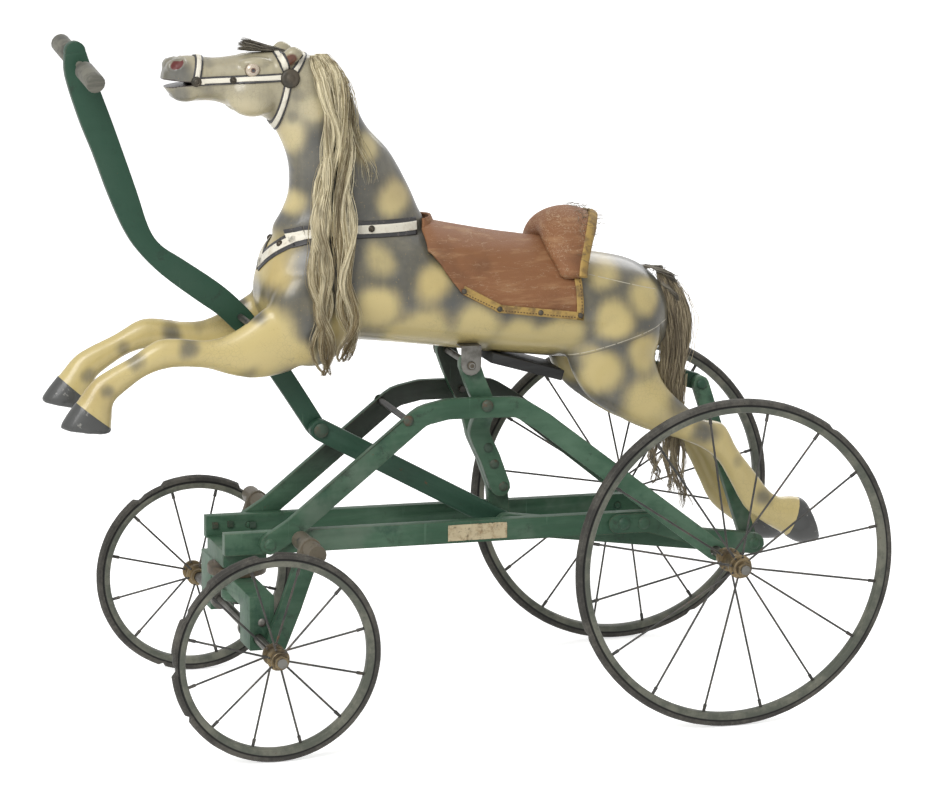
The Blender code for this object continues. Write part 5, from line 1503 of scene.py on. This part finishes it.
# The locks' rows are in millimetres.
maneLocks = [
    {  # the front lock
        "rows": [
            (-470, 808, -14, 8, 6), (-467, 786, -34, 9, 7), (-461, 750, -43, 9, 8), (-459, 716, -47, 9, 8),
            (-466, 676, -52, 11, 8), (-475, 632, -59, 12, 8), (-481, 590, -74, 13, 7), (-483, 545, -83, 13, 6),
            (-481, 505, -84, 13, 6), (-479, 468, -84, 13, 6), (-476, 434, -83, 8, 5),
        ],
        "count": 700, "clumps": 7, "twist": 5.4, "endSpread": 9, "curl": 0.0054, "waves": 27, "gather": 0.36,
    },
    {  # the rear lock
        "rows": [
            (-462, 809, -8, 8, 6), (-453, 790, -32, 9, 7), (-446, 752, -40, 9, 8), (-443, 716, -45, 10, 8),
            (-447, 676, -51, 11, 8), (-448, 632, -59, 11, 8), (-451, 590, -75, 12, 7), (-452, 545, -83, 11, 6),
            (-448, 505, -85, 12, 6), (-446, 475, -84, 11, 6), (-452, 450, -83, 7, 5),
        ],
        "count": 640, "clumps": 6, "twist": -5.8, "endSpread": 9, "curl": 0.0054, "waves": 25, "gather": 0.38,
    },
    {  # the loose hair on the crest
        "rows": [
            (-462, 808, -4, 6, 10), (-447, 786, -18, 8, 12), (-436, 752, -28, 10, 10), (-431, 716, -34, 13, 9),
            (-427, 684, -40, 19, 8), (-424, 655, -46, 22, 8),
        ],
        "count": 110, "clumps": 24, "fan": 0.004, "endSpread": 12, "curl": 0.0050, "waves": 11,
    },
]
tailLocks = [
    {  # the full part
        "rows": [
            (-28, 526, -14, 6, 6), (-18, 506, -20, 13, 8), (-12, 470, -25, 19, 9), (-13, 430, -26, 20, 8),
            (-18, 392, -25, 18, 7), (-16, 355, -24, 14, 6), (-13, 320, -23, 10, 5),
        ],
        "count": 900, "clumps": 15, "twist": 1.2, "endSpread": 9, "curl": 0.0028, "waves": 12,
    },
    {  # the long wisps, front, middle and rear
        "rows": [
            (-14, 400, -24, 10, 6), (-20, 360, -23, 10, 5), (-30, 322, -22, 10, 5), (-35, 286, -22, 7, 4),
            (-31, 262, -21, 4, 3),
        ],
        "count": 90, "clumps": 4, "twist": 1.8, "endSpread": 6, "curl": 0.0050, "waves": 18,
    },
    {
        "rows": [
            (-10, 400, -24, 8, 6), (-10, 355, -23, 8, 5), (-14, 315, -22, 10, 5), (-16, 280, -22, 9, 5),
            (-10, 250, -21, 6, 4),
        ],
        "count": 130, "clumps": 5, "twist": 1.4, "endSpread": 6, "curl": 0.0050, "waves": 16,
    },
    {
        "rows": [
            (-4, 400, -24, 8, 6), (-6, 345, -23, 7, 5), (-7, 300, -22, 8, 5), (-1, 258, -21, 9, 4),
            (6, 228, -21, 6, 4),
        ],
        "count": 90, "clumps": 4, "twist": 1.4, "endSpread": 6, "curl": 0.0060, "waves": 15,
    },
]
tailKnotLocks = [
    {
        "rows": [
            (-53, 529, -2, 4, 6), (-43, 535, -6, 7, 9), (-31, 532, -12, 10, 11), (-23, 518, -18, 11, 10),
            (-18, 500, -23, 10, 9), (-18, 476, -27, 7, 6),
        ],
        "count": 260, "clumps": 3, "twist": 11.0, "endSpread": 3, "startSpread": 0, "curl": 0.0006,
    },
]
forelockLocks = [
    {
        "rows": [
            (-505, 812.5, 0, 6, 8), (-520, 816, 0, 4, 10), (-534, 818, 0, 3, 11), (-546, 820.5, 0, 3, 11),
            (-559, 823.5, 0, 3, 10),
        ],
        "count": 300, "clumps": 16, "fan": 0.010, "endSpread": 7, "startSpread": 8, "curl": 0.0008,
    },
]
for index, (name, replaced) in enumerate((("maneFront", ["mane"]), ("maneRear", ["mane"]), ("maneCrest", []))):
    strands(name, "mane", maneLocks[index : index + 1], 11 + index, 0.00036, replaced, 0.43, 0.66)
strands("tailHair", "tail", tailLocks[:1], 21, 0.00036, ["tail"], 0.23, 0.40)
strands("tailWisps", "tail", tailLocks[1:], 22, 0.00036, [], 0.23, 0.40)
strands("tailKnot", "forelock", tailKnotLocks, 14, 0.00042, [], 0.2, 0.3)
strands("forelockHair", "forelock", forelockLocks, 13, 0.00036, ["forelock"], 0.6, 0.7)
print("hair combed")


fittings = {  # bolt heads as x, z, y of the face, radius and height, on both sides unless only the near one is named
    "frameHeads": [(-0.2685, 0.382, 0.0654, 0.0074, 0.0036), (-0.368, 0.369, 0.0648, 0.0066, 0.0032)],
    "paintedHeads": [
        (-0.540, 0.226, 0.0645, 0.0064, 0.0030), (-0.088, 0.222, 0.0583, 0.0078, 0.0040),
        (-0.062, 0.221, 0.0583, 0.0078, 0.0040),
    ],
    "rodHeads": [(-0.288, 0.432, 0.0622, 0.0052, 0.0026)],
    "truckHeads": [(-0.566, 0.147, 0.1252, 0.0052, 0.0026)],
    "nearHeads": [
        (-0.251, 0.318, 0.0138, 0.0062, 0.0030), (-0.243, 0.297, 0.0138, 0.0062, 0.0030),
        (-0.231, 0.268, 0.0138, 0.0062, 0.0030),
    ],
    "nearElbow": [(-0.464, 0.352, 0.0163, 0.0090, 0.0030)],
    "squares": [(-0.583, 0.2285), (-0.564, 0.229), (-0.536, 0.2265)],
    "squareSize": (0.0072, 0.0050, 0.0072),
    "squareOut": 0.0415,
    "collar": (-0.570, 0.127),
    "collarRing": [(0.0063, 0.0665), (0.0120, 0.0665), (0.0120, 0.0740), (0.0063, 0.0740)],
}


def heads(key, both=True):
    bm = bmesh.new()
    for side in (-1, 1) if both else (-1,):
        for x, z, y, radius, height in fittings[key]:
            domeHead(bm, at(x, z, side * y), side, radius, height)
    return bm


def makeFittings():
    bolts, collars = heads("frameHeads"), heads("truckHeads")
    for side in (-1, 1):
        ring = [(radius, side * along) for radius, along in fittings["collarRing"]]
        spun(collars, ring, at(*fittings["collar"]), 28)
        for x, z in fittings["squares"]:
            block(bolts, at(x, z, side * fittings["squareOut"]), fittings["squareSize"])
    bolts = joined([bolts, heads("nearHeads", False)])
    for bm, name, body, slot, finish in (
        (bolts, "frameBoltHeads", "frame", "green_wood", "heads"),
        (collars, "axleCollars", "front_truck", "dull_steel", "steel"),
        (heads("rodHeads"), "pivotRodHeads", "frame", "dull_steel", "bolt"),
        (heads("paintedHeads"), "paintedBoltHeads", "frame", "green_wood", "green"),
        (heads("nearElbow", False), "elbowWasher", "lever", "green_wood", "heads"),
    ):
        keep(bm, name, body, slot, finish)


label = {"columns": 48, "rows": 14, "ragged": 0.03, "waves": 0.0002, "wall": 0.0002}


def makeLabel():
    low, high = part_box("paper_label")
    middle, size = (low + high) / 2, high - low
    bm = bmesh.new()
    bmesh.ops.create_grid(bm, x_segments=label["columns"], y_segments=label["rows"], size=0.5)
    for vert in bm.verts:
        x, z = vert.co.x, vert.co.y
        ragged = abs(noise.noise(Vector((x * 14, z * 14, 2)))) * label["ragged"]
        torn = 0.10 * max(0.0, x + z - 0.82) + 0.06 * max(0.0, -x + z - 0.88)
        x, z = x * (1 - ragged - torn), z * (1 - ragged * 2.2 - torn)
        lift = abs(noise.noise(Vector((x * 6, z * 3, 5)))) * label["waves"]
        vert.co = (middle.x + x * size.x, high.y - label["wall"] - lift, middle.z + z * size.z)
    bmesh.ops.solidify(bm, geom=bm.faces[:], thickness=label["wall"])
    keep(bm, "paperLabel", "frame", "aged_paper", "paper", ["paper_label"])


makeFittings()
makeLabel()
print("fittings made")
